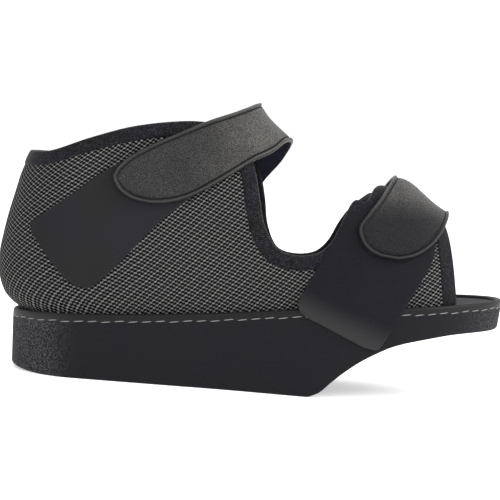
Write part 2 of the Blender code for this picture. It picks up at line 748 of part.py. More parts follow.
def binding_line(edge):
    """Pairs of (station, arc), on the free edge and on the seam, from the heel to the rim."""
    seam = inside_line(edge, BINDING_WIDTH)
    pairs = list(zip(edge, seam))
    corner_x = TOE_OPENING - TOE_EDGE_RAKE
    corner_arc = crown_arc(corner_x) + FLAP_LAP
    seam_x = corner_x - BINDING_WIDTH
    seam_arc = crown_arc(seam_x) + FLAP_LAP - BINDING_WIDTH
    pairs.append((np.array([corner_x, corner_arc]), np.array([seam_x, seam_arc])))
    for share in np.linspace(TOE_EDGE_FIRST, 1.0, TOE_EDGE_COUNT):
        x = corner_x + share * TOE_EDGE_RAKE
        down = 1.0 - share
        pairs.append(
            (
                np.array([x, corner_arc * down]),
                np.array([seam_x + share * TOE_EDGE_RAKE, seam_arc * down]),
            )
        )
    return pairs


def make_binding(edges):
    sections = []
    for side in (-1, 1):
        pairs = binding_line(edges[side])
        pairs = pairs[::-1] if side < 0 else pairs[1:]
        for free, seam in pairs:
            ring = []
            for row in BINDING_SECTION:
                x, arc = seam + (free - seam) * row["across"]
                proud = row["pad"] * BINDING_PAD
                if row["pad"] > 0:
                    proud *= smoothstep(arc, RIM_HEIGHT - GAP, RIM_HEIGHT + PAD_FADE)
                ring.append(sunk_point(x, arc, side, proud - row["deep"] * WALL))
            sections.append(ring)
    return sections_to_solid("edge_binding", sections, LINING)


def sections_to_solid(name, sections, finish):
    """Closed sections joined in order and capped at both ends."""
    count = len(sections[0])
    vertices = [point for ring in sections for point in ring]
    faces = []
    for a in range(len(sections) - 1):
        for i in range(count):
            j = (i + 1) % count
            faces.append((a * count + i, a * count + j, (a + 1) * count + j, (a + 1) * count + i))
    for start in (0, (len(sections) - 1) * count):
        for i in range(count // 2 - 1):
            faces.append(
                (start + i, start + i + 1, start + count - i - 2, start + count - i - 1)
            )
    return add_solid(name, vertices, faces, finish)


def fold_rise(share):
    """How far a flat fold raises the strap at a share of the way across it."""
    edge = (2 * share - 1) ** 2
    return FOLD_EDGE_LIFT * edge - FOLD_MIDDLE_DROP * (1 - edge)


def make_strap(name, table, panel_lift, count, across):
    """A strap: its cross lines lie on the last, clear of the upper, the binding and the panel."""
    clear = panel_lift + PANEL_THICKNESS + STRAP_EASE
    rows = []
    for row in table:
        back, front = row["back"] * SOLE_LENGTH, row["front"] * SOLE_LENGTH
        back_arc = row["back_girth"] * crown_arc(back)
        front_arc = row["front_girth"] * crown_arc(front)
        rows.append((back, back_arc, front, front_arc, GAP + clear * row["seat"], row["fold"]))
    outer, inner = [], []
    for back, back_arc, front, front_arc, seat, fold in spline_through(rows, count):
        top, bottom = [], []
        for share in np.linspace(0, 1, across):
            x = back + (front - back) * share
            arc = back_arc + (front_arc - back_arc) * share
            under = seat + fold * fold_rise(share)
            bottom.append(upper_point(x, arc, -1, under))
            top.append(upper_point(x, arc, -1, under + STRAP_THICKNESS))
        outer.append(top)
        inner.append(bottom)
    return grids_to_solid(name, outer, inner, LEATHERETTE)


def flank_point(x, rise, out):
    """A point on the outer flank: the sole's side under the rim's top, the upper over it.

    rise is the length up the flank from the rim's top, and out the distance off its surface.
    """
    low = sole_bottom(x) + FLOOR_EDGE_RADIUS
    z = max(rim_top(x) + rise, low)
    up = min((z - low) / (sole_top(x) - low), 1.0)
    half = half_width(x, sole_inset(up))
    on_sole = np.array([x, middle_line(x) - half - out, z])
    on_upper = upper_point(x, RIM_HEIGHT + max(rise, 0.0), -1, out)
    return on_sole + (on_upper - on_sole) * smoothstep(rise, BRIDGE_START, BRIDGE_RISE)


def make_panel(name, table, panel_lift, count, across):
    """A thin loop panel laid on the outer flank."""
    rows = []
    for row in table:
        line = []
        for edge in ("back", "front"):
            x = row[edge] * SOLE_LENGTH
            over = crown_arc(x) - RIM_HEIGHT
            line += [x, row[edge + "_up"] * (over if row[edge + "_up"] > 0 else PANEL_DROP)]
        rows.append(line + [GAP + panel_lift * row["lift"]])
    outer, inner = [], []
    for back, back_rise, front, front_rise, under in spline_through(rows, count):
        top, bottom = [], []
        for share in np.linspace(0, 1, across):
            x = back + (front - back) * share
            rise = back_rise + (front_rise - back_rise) * share
            bottom.append(flank_point(x, rise, under))
            top.append(flank_point(x, rise, under + PANEL_THICKNESS))
        outer.append(top)
        inner.append(bottom)
    return grids_to_solid(name, outer, inner, LOOP_PILE)


def main():
    clear_scene()
    edges = {-1: free_edge(OUTER_THROAT, OUTER_FLAP), 1: free_edge(INNER_THROAT, INNER_FLAP)}
    make_sole()
    make_rim()
    make_insole()
    make_upper(edges)
    make_binding(edges)
    make_strap("ankle_strap", ANKLE_STRAP, 0.0, count=40, across=5)
    make_strap("forefoot_strap", FOREFOOT_STRAP, PANEL_LIFT, count=34, across=6)
    make_panel("ankle_panel", ANKLE_PANEL, 0.0, count=26, across=6)
    make_panel("forefoot_panel", FOREFOOT_PANEL, PANEL_LIFT, count=24, across=6)


main()
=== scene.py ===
"""The looks of a right post-operative shoe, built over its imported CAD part.

Lengths are in millimetres until a mesh is made. X runs to the toe, Y to the inner side of the
foot and Z up. A place on the upper is a station, the distance from the sole's back, and an arc,
the length up the last's cross-section from its foot. "side" is -1 for the outer side of the foot
and +1 for the inner. Shape functions take arrays of stations and arcs of equal length.
"""

import math

import bmesh
import bpy
import numpy as np
from mathutils import Matrix, Vector


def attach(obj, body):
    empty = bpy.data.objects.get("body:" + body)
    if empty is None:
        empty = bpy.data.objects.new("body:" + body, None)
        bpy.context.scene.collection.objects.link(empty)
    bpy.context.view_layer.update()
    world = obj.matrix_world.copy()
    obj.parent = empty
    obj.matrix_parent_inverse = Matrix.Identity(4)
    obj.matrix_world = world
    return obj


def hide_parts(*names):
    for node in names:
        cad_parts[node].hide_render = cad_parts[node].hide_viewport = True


MM = 0.001

# The sole
SOLE_LENGTH = 280.5
BALL_WIDTH = 95.0
HEEL_WIDTH = 78.0
HEEL_HEIGHT = 34.0
TOE_HEIGHT = 59.5
TOE_LIFT = 42.0
WEDGE_LENGTH = 171.0
HEEL_BEVEL_LENGTH = 28.0
HEEL_BEVEL_LIFT = 2.0
HEEL_ROUND = 40.0
TOE_ROUND = 70.0
SIDE_DRAFT = 1.0
FLOOR_EDGE_RADIUS = 2.2

# The rim, the insole and the clearance between neighbouring pieces
RIM_HEIGHT = 5.0
RIM_WIDTH = 3.5
INSOLE_THICKNESS = 3.0
INSOLE_DISH = 0.8
INSOLE_DISH_BORDER = 14.0
INSOLE_EDGE = 0.8
INSOLE_EASE = 0.6
INSOLE_FLARE = 8.0
GAP = 0.3

# The upper
WALL = 3.0
COLLAR_RISE = 112.0
HEEL_BULGE = 14.0
HEEL_CUP_LENGTH = 84.0
SIDE_SWELL = 4.0
SWELL_LENGTH = 168.0
INSTEP_HEIGHT = 118.0
BALL_HEIGHT = 70.5
OPEN_TOE_LENGTH = 28.5
TOE_EDGE_RAKE = 12.5
FLAP_LAP = 14.0
FLAP_EASE = 0.8
BINDING_WIDTH = 8.5
BINDING_PAD = 0.8
PAD_FADE = 6.0

# The straps and the loop panels that they close on
STRAP_THICKNESS = 2.5
STRAP_EASE = 0.45
FOLD_EDGE_LIFT = 2.8
FOLD_MIDDLE_DROP = 1.3
PANEL_THICKNESS = 1.0
PANEL_LIFT = 0.9
PANEL_DROP = 23.2
BRIDGE_RISE = 15.0

TOE_OPENING = SOLE_LENGTH - OPEN_TOE_LENGTH
FLAP_SINK = WALL + 2 * BINDING_PAD + FLAP_EASE
ORIGIN = (HEEL_BEVEL_LENGTH + WEDGE_LENGTH) / 2
BACK = RIM_WIDTH + GAP

# How finely and where the shapes are sampled
SPLINE_STEPS = 40
EDGE_COUNT = 240
WALL_ROWS = 70
WALL_BUNCHING = 1.25
EVEN_FEET = 0.6
SINK_GIRTHS = (0.50, 0.85)
SINK_STATIONS = (0.60, 0.68)
PROBE = 0.05
END_EASE = 1.0


def rows_of(columns, *rows):
    """A table's rows as dicts, from its column names and its numbers."""
    return [dict(zip(columns.split(), row)) for row in rows]


PLAN = rows_of(
    "station heel ball sway",
    (0, 0.97, 0, -0.016), (0.15, 1, 0, -0.024),
    (0.33, 0.7, 0.24, -0.034), (0.47, 0.3, 0.6, -0.026),
    (0.6, 0.05, 0.9, -0.012), (0.72, 0, 1, 0.002),
    (0.82, 0, 0.99, 0.018), (0.92, 0, 0.93, 0.034),
    (1, 0, 0.89, 0.044),
)
RIM_LINE = rows_of(
    "station rise",
    (0, 0), (0.2, 0.13), (0.4, 0.32), (0.6, 0.59), (0.8, 0.79), (1, 1),
)
RAMP = rows_of(
    "along lift",
    (0, 0), (0.055, 0.067), (0.108, 0.205), (0.173, 0.36), (0.273, 0.555), (0.433, 0.768),
    (0.563, 0.858), (0.735, 0.942), (1, 1),
)
LAST = rows_of(
    "station instep ball roundness",
    (0, 2, 0, 3), (0.22, 1.82, 0, 3),
    (0.36, 1.34, 0, 3), (0.46, 1, 0, 2.6),
    (0.535, 0.78, 0.03, 2.4), (0.62, 0.3, 0.62, 2.3),
    (0.69, 0.07, 0.94, 2.2), (0.77, 0, 0.99, 2.2),
    (0.87, 0, 0.69, 2.2), (1, 0, 0.4, 2.2),
)
HEEL_BACK = rows_of(
    "height out",
    (0, 0), (0.03, 0.36), (0.076, 0.7), (0.177, 0.97), (0.26, 1), (0.381, 0.88), (0.474, 0.74),
    (0.578, 0.54), (0.68, 0.34), (0.8, -0.02), (1, -0.64),
)
HEEL_SIDES = rows_of(
    "height out",
    (0, 0), (0.12, 0.62), (0.3, 1), (0.55, 0.75), (0.8, 0), (1, -0.5),
)
COLLAR_EDGE = rows_of(
    "station height",
    (0.06, 0.85), (0.13, 0.914), (0.215, 0.972), (0.31, 0.998), (0.37, 0.992),
)
OUTER_THROAT = rows_of(
    "station girth",
    (0.42, 0.718), (0.456, 0.711), (0.475, 0.639), (0.487, 0.538), (0.501, 0.426), (0.53, 0.344),
    (0.57, 0.335), (0.608, 0.358), (0.63, 0.414), (0.645, 0.497), (0.658, 0.597), (0.675, 0.706),
)
INNER_THROAT = rows_of(
    "station girth",
    (0.42, 0.718), (0.466, 0.711), (0.487, 0.639), (0.499, 0.538), (0.509, 0.412), (0.532, 0.318),
    (0.57, 0.302), (0.612, 0.32), (0.638, 0.392), (0.656, 0.506), (0.671, 0.6),
)
OUTER_FLAP = rows_of(
    "station lap",
    (0.7, -1.9), (0.72, -0.6), (0.748, 0.5), (0.79, 1),
)
INNER_FLAP = rows_of(
    "station lap",
    (0.689, -2), (0.705, -1.1), (0.726, 0.3), (0.77, 1),
)
ANKLE_STRAP = rows_of(
    "back back_girth front front_girth seat fold",
    (0.198, 0.349, 0.201, 0.339, 1, 0), (0.206, 0.375, 0.214, 0.319, 1, 0),
    (0.227, 0.407, 0.242, 0.305, 1, 0), (0.264, 0.456, 0.29, 0.322, 1, 0),
    (0.318, 0.548, 0.346, 0.385, 1, 0), (0.376, 0.669, 0.406, 0.502, 1, 0),
    (0.424, 0.794, 0.462, 0.658, 1, 0), (0.45, 0.898, 0.508, 0.794, 1, 0.1),
    (0.458, 1, 0.532, 1, 1, 0.4), (0.446, 1.192, 0.525, 1.222, 1, 0.1),
    (0.41, 1.366, 0.49, 1.408, 1, 0), (0.358, 1.55, 0.436, 1.612, 0.9, 0),
    (0.305, 1.7, 0.38, 1.773, 0.2, 0), (0.272, 1.776, 0.346, 1.858, 0, 0),
)
FOREFOOT_STRAP = rows_of(
    "back back_girth front front_girth seat fold",
    (0.73, 0.346, 0.766, 0.33, 1, 0), (0.707, 0.378, 0.798, 0.365, 1, 0),
    (0.69, 0.433, 0.826, 0.46, 1, 0), (0.684, 0.506, 0.846, 0.605, 1, 0),
    (0.7, 0.592, 0.858, 0.76, 1, 0), (0.727, 0.727, 0.864, 0.9, 1, 0.3),
    (0.758, 1, 0.865, 1.06, 1, 0.8), (0.74, 1.244, 0.862, 1.25, 1, 0.3),
    (0.715, 1.406, 0.844, 1.471, 0.8, 0), (0.685, 1.599, 0.812, 1.718, 0.4, 0),
    (0.66, 1.769, 0.784, 1.876, 0.1, 0), (0.648, 1.877, 0.772, 1.92, 0, 0),
)
ANKLE_PANEL = rows_of(
    "back back_up front front_up lift",
    (0.078, 0.185, 0.14, 0.082, 0), (0.073, 0.205, 0.157, 0.064, 0),
    (0.081, 0.221, 0.178, 0.062, 0), (0.099, 0.242, 0.196, 0.079, 0),
    (0.135, 0.286, 0.225, 0.124, 0), (0.19, 0.355, 0.281, 0.233, 0),
    (0.262, 0.429, 0.341, 0.353, 0), (0.325, 0.526, 0.388, 0.463, 0),
    (0.372, 0.597, 0.42, 0.561, 0),
)
FOREFOOT_PANEL = rows_of(
    "back back_up front front_up lift",
    (0.6, -0.222, 0.714, -0.946, 0), (0.582, -0.058, 0.739, -1, 0),
    (0.577, 0.046, 0.751, -0.821, 0), (0.59, 0.122, 0.769, -0.41, 0),
    (0.611, 0.243, 0.793, 0.033, 0.5), (0.63, 0.357, 0.817, 0.184, 1),
    (0.647, 0.444, 0.834, 0.326, 1), (0.662, 0.549, 0.84, 0.477, 1),
    (0.69, 0.64, 0.842, 0.575, 1),
)

SECTION_SAMPLES = 60
SAMPLE_BUNCHING = 2.0


def smoothstep(value, low, high):
    t = np.clip((np.asarray(value, float) - low) / (high - low), 0.0, 1.0)
    return t * t * (3.0 - 2.0 * t)


def cubic(t, step, start, end, leaving, arriving):
    """The curve from start to end at share t of a step, by its slopes at both ends."""
    rest = 1 - t
    bent = t * rest**2 * step * leaving - t * t * rest * step * arriving
    return (1 + 2 * t) * rest**2 * start + t * t * (3 - 2 * t) * end + bent


def table_curve(rows, key, column):
    """A smooth function through a table's column that doesn't overshoot its rows."""
    xs = np.array([row[key] for row in rows])
    ys = np.array([row[column] for row in rows])
    steps = np.diff(xs)
    slopes = np.diff(ys) / steps
    tangents = np.zeros(len(xs))
    tangents[0], tangents[-1] = slopes[0], slopes[-1]
    for i in range(1, len(xs) - 1):
        if slopes[i - 1] * slopes[i] > 0:
            first = 2 * steps[i] + steps[i - 1]
            second = steps[i] + 2 * steps[i - 1]
            tangents[i] = (first + second) / (first / slopes[i - 1] + second / slopes[i])

    def value(x):
        x = np.asarray(x, float)
        i = np.clip(np.searchsorted(xs, x) - 1, 0, len(xs) - 2)
        t = np.clip((x - xs[i]) / steps[i], 0.0, 1.0)
        return cubic(t, steps[i], ys[i], ys[i + 1], tangents[i], tangents[i + 1])

    return value


def spline_through(points, count):
    """count points, evenly spaced along a smooth curve through the given points."""
    points = np.asarray(points, float)
    chords = np.sqrt(np.linalg.norm(np.diff(points, axis=0), axis=1))
    knots = np.concatenate([[0.0], np.cumsum(chords)])
    tangents = np.zeros_like(points)
    tangents[1:-1] = (points[2:] - points[:-2]) / (knots[2:] - knots[:-2])[:, None]
    tangents[0] = (points[1] - points[0]) / (knots[1] - knots[0])
    tangents[-1] = (points[-1] - points[-2]) / (knots[-1] - knots[-2])
    fine = []
    for i, step in enumerate(np.diff(knots)):
        for t in np.linspace(0, 1, SPLINE_STEPS, endpoint=i == len(knots) - 2):
            fine.append(cubic(t, step, points[i], points[i + 1], tangents[i], tangents[i + 1]))
    return even_along(np.array(fine), count)


def even_along(line, count):
    along = run_length(line)
    wanted = np.linspace(0, along[-1], count)
    return np.stack([np.interp(wanted, along, line[:, k]) for k in range(line.shape[1])], axis=1)


def run_length(line):
    steps = np.linalg.norm(np.diff(line, axis=0), axis=1)
    return np.concatenate([[0.0], np.cumsum(steps)])


plan_heel = table_curve(PLAN, "station", "heel")
plan_ball = table_curve(PLAN, "station", "ball")
plan_sway = table_curve(PLAN, "station", "sway")
rim_rise = table_curve(RIM_LINE, "station", "rise")
ramp_lift = table_curve(RAMP, "along", "lift")
last_instep = table_curve(LAST, "station", "instep")
last_ball = table_curve(LAST, "station", "ball")
last_roundness = table_curve(LAST, "station", "roundness")
heel_back = table_curve(HEEL_BACK, "height", "out")
heel_sides = table_curve(HEEL_SIDES, "height", "out")


def end_round(distance, length):
    """The share of the full width that is left near a rounded end."""
    t = np.clip(distance / length, 0.0, 1.0)
    return np.sqrt(1.0 - (1.0 - t) ** 2)


def half_width(x, inset):
    """Half the sole's width at x, on the outline moved inwards by inset."""
    share = x / SOLE_LENGTH
    full = plan_heel(share) * HEEL_WIDTH + plan_ball(share) * BALL_WIDTH
    heel = end_round(x - inset, HEEL_ROUND - inset)
    toe = end_round(SOLE_LENGTH - inset - x, TOE_ROUND - inset)
    return (full / 2 - inset) * heel * toe


def middle_line(x):
    return plan_sway(x / SOLE_LENGTH) * BALL_WIDTH


def rim_top(x):
    return HEEL_HEIGHT + rim_rise(x / SOLE_LENGTH) * (TOE_HEIGHT - HEEL_HEIGHT)


def sole_top(x):
    return rim_top(x) - RIM_HEIGHT


def sole_bottom(x):
    bevel = HEEL_BEVEL_LIFT * np.clip(1.0 - x / HEEL_BEVEL_LENGTH, 0.0, 1.0) ** 2
    along = np.clip((x - WEDGE_LENGTH) / (SOLE_LENGTH - WEDGE_LENGTH), 0.0, 1.0)
    return bevel + TOE_LIFT * ramp_lift(along)


def sole_stations():
    """Shares of the way from the outline's back to its front, close together where it bends."""
    heel = HEEL_ROUND * (1 - np.cos(np.linspace(0, math.pi / 2, 30)))
    toe = SOLE_LENGTH - TOE_ROUND * (1 - np.cos(np.linspace(math.pi / 2, 0, 40)))
    middle = np.linspace(HEEL_ROUND, toe[0], 90)[1:-1]
    return np.concatenate([heel, middle, toe]) / SOLE_LENGTH


def outline_loop(stations, inset, height):
    """A closed loop round the outline moved inwards by inset, at height(x)."""
    insets = inset if callable(inset) else lambda x: np.full_like(x, inset)
    x = stations * SOLE_LENGTH
    for _ in range(4):
        x = stations * SOLE_LENGTH + insets(x) * (1 - 2 * stations)
    half = half_width(x, insets(x))
    outer = np.stack([x, middle_line(x) - half, height(x)], axis=1)
    inner = np.stack([x, middle_line(x) + half, height(x)], axis=1)
    return np.vstack([outer, inner[-2:0:-1]])


def section(x):
    """The last's cross-sections at x: half width, crown height, exponent and arc lengths."""
    share = x / SOLE_LENGTH
    half = half_width(x, RIM_WIDTH + GAP)
    crown = last_instep(share) * INSTEP_HEIGHT + last_ball(share) * BALL_HEIGHT
    power = 2.0 / last_roundness(share)
    quarter = np.linspace(0.0, 1.0, SECTION_SAMPLES + 1) ** SAMPLE_BUNCHING * math.pi / 2
    angles = np.concatenate([quarter, math.pi - quarter[-2::-1]])
    cosines = np.sign(np.cos(angles)) * np.abs(np.cos(angles)) ** power[:, None]
    sines = np.abs(np.sin(angles)) ** power[:, None]
    steps = np.hypot(np.diff(cosines) * half[:, None], np.diff(sines) * crown[:, None])
    arcs = np.concatenate([np.zeros((len(x), 1)), np.cumsum(steps, axis=1)], axis=1)
    return half, crown, power, angles, arcs


STATION_GRID = np.linspace(BACK, SOLE_LENGTH - 1.0, 700)
CROWN_ARCS = section(STATION_GRID)[4][:, SECTION_SAMPLES]


def crown_arc(x):
    return np.interp(x, STATION_GRID, CROWN_ARCS)


def angle_at(section_angles, arcs, arc):
    """The angle on each section at its arc length."""
    i = np.clip((arcs <= arc[:, None]).sum(axis=1) - 1, 0, arcs.shape[1] - 2)
    rows = np.arange(len(arc))
    low, high = arcs[rows, i], arcs[rows, i + 1]
    t = np.clip((arc - low) / np.maximum(high - low, 1e-9), 0.0, 1.0)
    return section_angles[i] + t * (section_angles[i + 1] - section_angles[i])


def arc_at_height(x, height):
    _half, crown, power, angles, arcs = section(np.atleast_1d(float(x)))
    sine = min(max(height / crown[0], 0.0), 1.0) ** (1.0 / power[0])
    return float(np.interp(math.asin(sine), angles, arcs[0]))


def last_surface(x, arc, side):
    """The points of the upper's outer face at stations x, arc up from the foot on one side."""
    half, crown, power, angles, arcs = section(x)
    angle = angle_at(angles, arcs, arc)
    cosine = np.sign(np.cos(angle)) * np.abs(np.cos(angle)) ** power
    height = np.abs(np.sin(angle)) ** power * crown
    over = height - RIM_HEIGHT
    swell = SIDE_SWELL * heel_sides(over / COLLAR_RISE)
    swell = swell * (1.0 - smoothstep(x, HEEL_CUP_LENGTH, SWELL_LENGTH))
    wide = half * (1.0 + swell / (HEEL_WIDTH / 2))
    back = HEEL_BULGE * heel_back(over / COLLAR_RISE) * (1.0 - smoothstep(x, 0.0, HEEL_CUP_LENGTH))
    foot = sole_top(x) + GAP
    return np.stack([x - back, middle_line(x) + side * wide * cosine, foot + height], axis=1)


def upper_point(x, arc, side, out):
    """last_surface moved out along its normal."""
    x = np.maximum(np.asarray(x, float), BACK)
    arc = np.asarray(arc, float)
    here = last_surface(x, arc, side)
    low = np.maximum(x - PROBE, BACK)
    along = last_surface(x + PROBE, arc, side) - last_surface(low, arc, side)
    under = np.maximum(arc - PROBE, 0.0)
    up = last_surface(x, arc + PROBE, side) - last_surface(x, under, side)
    normal = -side * np.cross(along, up)
    normal[x <= BACK + 0.001, 1] = 0.0
    normal /= np.linalg.norm(normal, axis=1)[:, None]
    return here + np.broadcast_to(out, x.shape)[:, None] * normal


def flap_sink(x, arc, side):
    """How far the inner side's flap dips to pass under the outer side's flap."""
    if side < 0:
        return np.zeros_like(x)
    high = smoothstep(arc / crown_arc(x), *SINK_GIRTHS)
    return FLAP_SINK * high * smoothstep(x / SOLE_LENGTH, *SINK_STATIONS)


def sunk_point(x, arc, side, out):
    return upper_point(x, arc, side, out - flap_sink(x, arc, side))


def free_edge(throat, flap, count):
    """The upper's free edge on one side in (station, arc), from the heel to the flap's corner."""
    points = [(BACK, arc_at_height(BACK + END_EASE, COLLAR_EDGE[0]["height"] * COLLAR_RISE))]
    for row in COLLAR_EDGE:
        x = row["station"] * SOLE_LENGTH
        points.append((x, arc_at_height(x, row["height"] * COLLAR_RISE)))
    for row in throat:
        x = row["station"] * SOLE_LENGTH
        points.append((x, row["girth"] * float(crown_arc(x))))
    for row in flap:
        x = row["station"] * SOLE_LENGTH
        points.append((x, float(crown_arc(x)) + row["lap"] * FLAP_LAP))
    stop = TOE_OPENING - TOE_EDGE_RAKE - BINDING_WIDTH - END_EASE
    points.append((stop, float(crown_arc(stop)) + FLAP_LAP))
    line = spline_through(points, 4 * count)
    along = run_length(last_surface(line[:, 0], line[:, 1], -1))
    wanted = np.linspace(0, along[-1], count)
    return np.stack([np.interp(wanted, along, line[:, k]) for k in (0, 1)], axis=1)


def inside_line(edge, distance):
    """The edge moved into the wall by distance, in the plane of station and arc."""
    along = np.gradient(edge, axis=0)
    along /= np.linalg.norm(along, axis=1)[:, None]
    line = edge + distance * np.stack([along[:, 1], -along[:, 0]], axis=1)
    line[0] = (edge[0][0], edge[0][1] - distance)
    return line


EDGES = {
    -1: free_edge(OUTER_THROAT, OUTER_FLAP, EDGE_COUNT),
    1: free_edge(INNER_THROAT, INNER_FLAP, EDGE_COUNT),
}


# Meshes

def add_object(name, data):
    item = bpy.data.objects.new(name, data)
    bpy.context.scene.collection.objects.link(item)
    return item


def new_piece(name, vertices, faces, materials, replaces, uvs=None, sharp=0):
    """A smooth mesh object that rides on the root and takes its finish from a slot."""
    mesh = bpy.data.meshes.new(name)
    placed = (np.asarray(vertices) - (ORIGIN, 0.0, 0.0)) * MM
    mesh.from_pydata(placed.tolist(), [], faces)
    mesh.shade_smooth()
    if sharp:
        mesh.set_sharp_from_angle(angle=math.radians(sharp))
    if uvs is not None:
        layer = mesh.uv_layers.new(name="cloth")
        corners = np.zeros(len(mesh.loops), int)
        mesh.loops.foreach_get("vertex_index", corners)
        layer.data.foreach_set("uv", np.asarray(uvs, float)[corners].ravel())
    for material in materials:
        mesh.materials.append(material)
    item = add_object(name, mesh)
    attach(item, "root")
    if replaces:
        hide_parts(replaces)
    return item


def grid_faces(rows, columns, shift=0, turned=False):
    faces = []
    for r in range(rows - 1):
        for c in range(columns - 1):
            a = shift + r * columns + c
            b = a + columns
            faces.append((a, b, b + 1, a + 1) if turned else (a, a + 1, b + 1, b))
    return faces


def closed_grids(rows, columns):
    """Faces for an outer and an inner grid stored one after the other, closed at the border."""
    shift = rows * columns
    faces = grid_faces(rows, columns, 0, True) + grid_faces(rows, columns, shift, False)
    border = list(range(columns))
    border += [r * columns + columns - 1 for r in range(1, rows)]
    border += [(rows - 1) * columns + c for c in range(columns - 2, -1, -1)]
    border += [r * columns for r in range(rows - 2, 0, -1)]
    for a, b in zip(border, border[1:] + border[:1]):
        faces.append((a, shift + a, shift + b, b)[::-1])
    return faces


def ring_faces(loops, count, closed):
    faces = []
    pairs = [(a, a + 1) for a in range(loops - 1)]
    if closed:
        pairs.append((loops - 1, 0))
    for a, b in pairs:
        for i in range(count):
            j = (i + 1) % count
            faces.append((a * count + i, a * count + j, b * count + j, b * count + i))
    return faces


def strip_cap(start, count):
    """Faces across a loop that runs along one side and back along the other."""
    last = count // 2
    faces = [(start, start + 1, start + count - 1)]
    for i in range(1, last - 1):
        faces.append((start + i, start + i + 1, start + count - i - 1, start + count - i))
    faces.append((start + last - 1, start + last, start + last + 1))
    return faces


def turn_outwards(item):
    work = bmesh.new()
    work.from_mesh(item.data)
    bmesh.ops.recalc_face_normals(work, faces=work.faces)
    work.to_mesh(item.data)
    work.free()


# Materials

# The mesh's two sets of rows: how many rows a millimetre round the foot and a millimetre up cross.
MESH_ROWS = ((0.2158, 0.4720), (0.1975, -0.1952))
# Ovals in each cell between the rows: middle, half size and tone.
MESH_YARNS = rows_of(
    "middle half tone",
    ((0.0, 0.0), (0.19, 0.22), 1.0),
    ((0.06, 0.5), (0.20, 0.16), 0.72),
    ((0.5, 0.0), (0.34, 0.08), 0.40),
)
MESH_HOLES = rows_of(
    "middle half tone",
    ((0.5, 0.25), (0.33, 0.19), 1.0),
    ((0.5, 0.75), (0.33, 0.19), 1.0),
)
MESH_WANDER = 1.2
# The dark strip of painted shade up the heel's back: its blur and its half width.
HEEL_SHADE_BLUR = 0.6
HEEL_SHADE_HALF_WIDTH = 2.5
# The stations where the sole's light specks and the rim's lighter tone come in at the heel and the toe:
# in full, not at all, not at all, in full.
HEEL_LIGHTER_SPAN = (12.0, 48.0)
TOE_LIGHTER_SPAN = (232.0, 296.0)


def grey(tone):
    return tone, tone, tone


class Shader:
    """A node material under construction."""

    def __init__(self, name):
        self.material = bpy.data.materials.new(name)
        self.material.use_nodes = True
        self.tree = self.material.node_tree
        self.surface = self.tree.nodes["Principled BSDF"]

    def node(self, kind, **settings):
        made = self.tree.nodes.new(kind)
        for key, value in settings.items():
            setattr(made, key, value)
        return made

    def put(self, socket, value):
        if isinstance(value, bpy.types.NodeSocket):
            self.tree.links.new(value, socket)
        elif value is not None:
            socket.default_value = value

    def maths(self, operation, a, b=None):
        made = self.node("ShaderNodeMath", operation=operation)
        for socket, value in zip(made.inputs, (a, b)):
            self.put(socket, value)
        return made.outputs[0]

    def times(self, a, b):
        return self.maths("MULTIPLY", a, b)

    def place(self):
        """Object coordinates in millimetres."""
        coordinates = self.node("ShaderNodeTexCoord").outputs["Object"]
        made = self.node("ShaderNodeVectorMath", operation="SCALE")
        self.put(made.inputs[0], coordinates)
        made.inputs["Scale"].default_value = 1.0 / MM
        return made.outputs[0]

    def cloth(self):
        """The two cloth coordinates in millimetres."""
        made = self.node("ShaderNodeUVMap", uv_map="cloth")
        split = self.node("ShaderNodeSeparateXYZ")
        self.put(split.inputs[0], made.outputs[0])
        return split.outputs[0], split.outputs[1]

    def along_shoe(self, heel_full, heel_none, toe_none, toe_full):
        """1 at the heel's and the toe's end of the shoe and 0 between, by station."""
        split = self.node("ShaderNodeSeparateXYZ")
        self.put(split.inputs[0], self.place())
        station = self.maths("ADD", split.outputs[0], ORIGIN)
        heel = self.span(station, heel_none, heel_full)
        return self.maths("MAXIMUM", heel, self.span(station, toe_none, toe_full))

    def stretched(self, vector, shares):
        """The place with each of its three directions drawn out or closed up."""
        node = self.node("ShaderNodeVectorMath", operation="MULTIPLY")
        self.put(node.inputs[0], vector)
        node.inputs[1].default_value = shares
        return node.outputs[0]

    def noise(self, vector, scale, detail=2.0, rough=0.5):
        made = self.node("ShaderNodeTexNoise")
        self.put(made.inputs["Vector"], vector)
        made.inputs["Scale"].default_value = scale
        made.inputs["Detail"].default_value = detail
        made.inputs["Roughness"].default_value = rough
        return made.outputs[0]

    def span(self, value, low, high, to_low=0.0, to_high=1.0):
        made = self.node("ShaderNodeMapRange", interpolation_type="SMOOTHSTEP")
        for socket, entry in zip(made.inputs, (value, low, high, to_low, to_high)):
            self.put(socket, entry)
        return made.outputs[0]

    def band(self, value, start, full, fall, end):
        """1 from full to fall, and 0 before start and after end."""
        return self.times(self.span(value, start, full), self.span(value, end, fall))

    def mix(self, share, a, b):
        made = self.node("ShaderNodeMix", data_type="RGBA")
        self.put(made.inputs[0], share)
        self.put(made.inputs[6], (*a, 1.0) if isinstance(a, tuple) else a)
        self.put(made.inputs[7], (*b, 1.0) if isinstance(b, tuple) else b)
        return made.outputs[2]

    def bump(self, height, depth):
        """depth is the height of a full-scale step in millimetres."""
        made = self.node("ShaderNodeBump")
        made.inputs["Strength"].default_value = 1.0
        made.inputs["Distance"].default_value = depth * MM
        self.put(made.inputs["Height"], height)
        return made.outputs[0]

    def finish(self, colour, roughness, normal=None, gloss=0.5, **sockets):
        self.put(self.surface.inputs["Base Color"],
                 (*colour, 1.0) if isinstance(colour, tuple) else colour)
        self.put(self.surface.inputs["Roughness"], roughness)
        self.put(self.surface.inputs["Normal"], normal)
        self.surface.inputs["Specular IOR Level"].default_value = gloss
        for key, value in sockets.items():
            self.put(self.surface.inputs[key.replace("_", " ")], value)
        return self.material


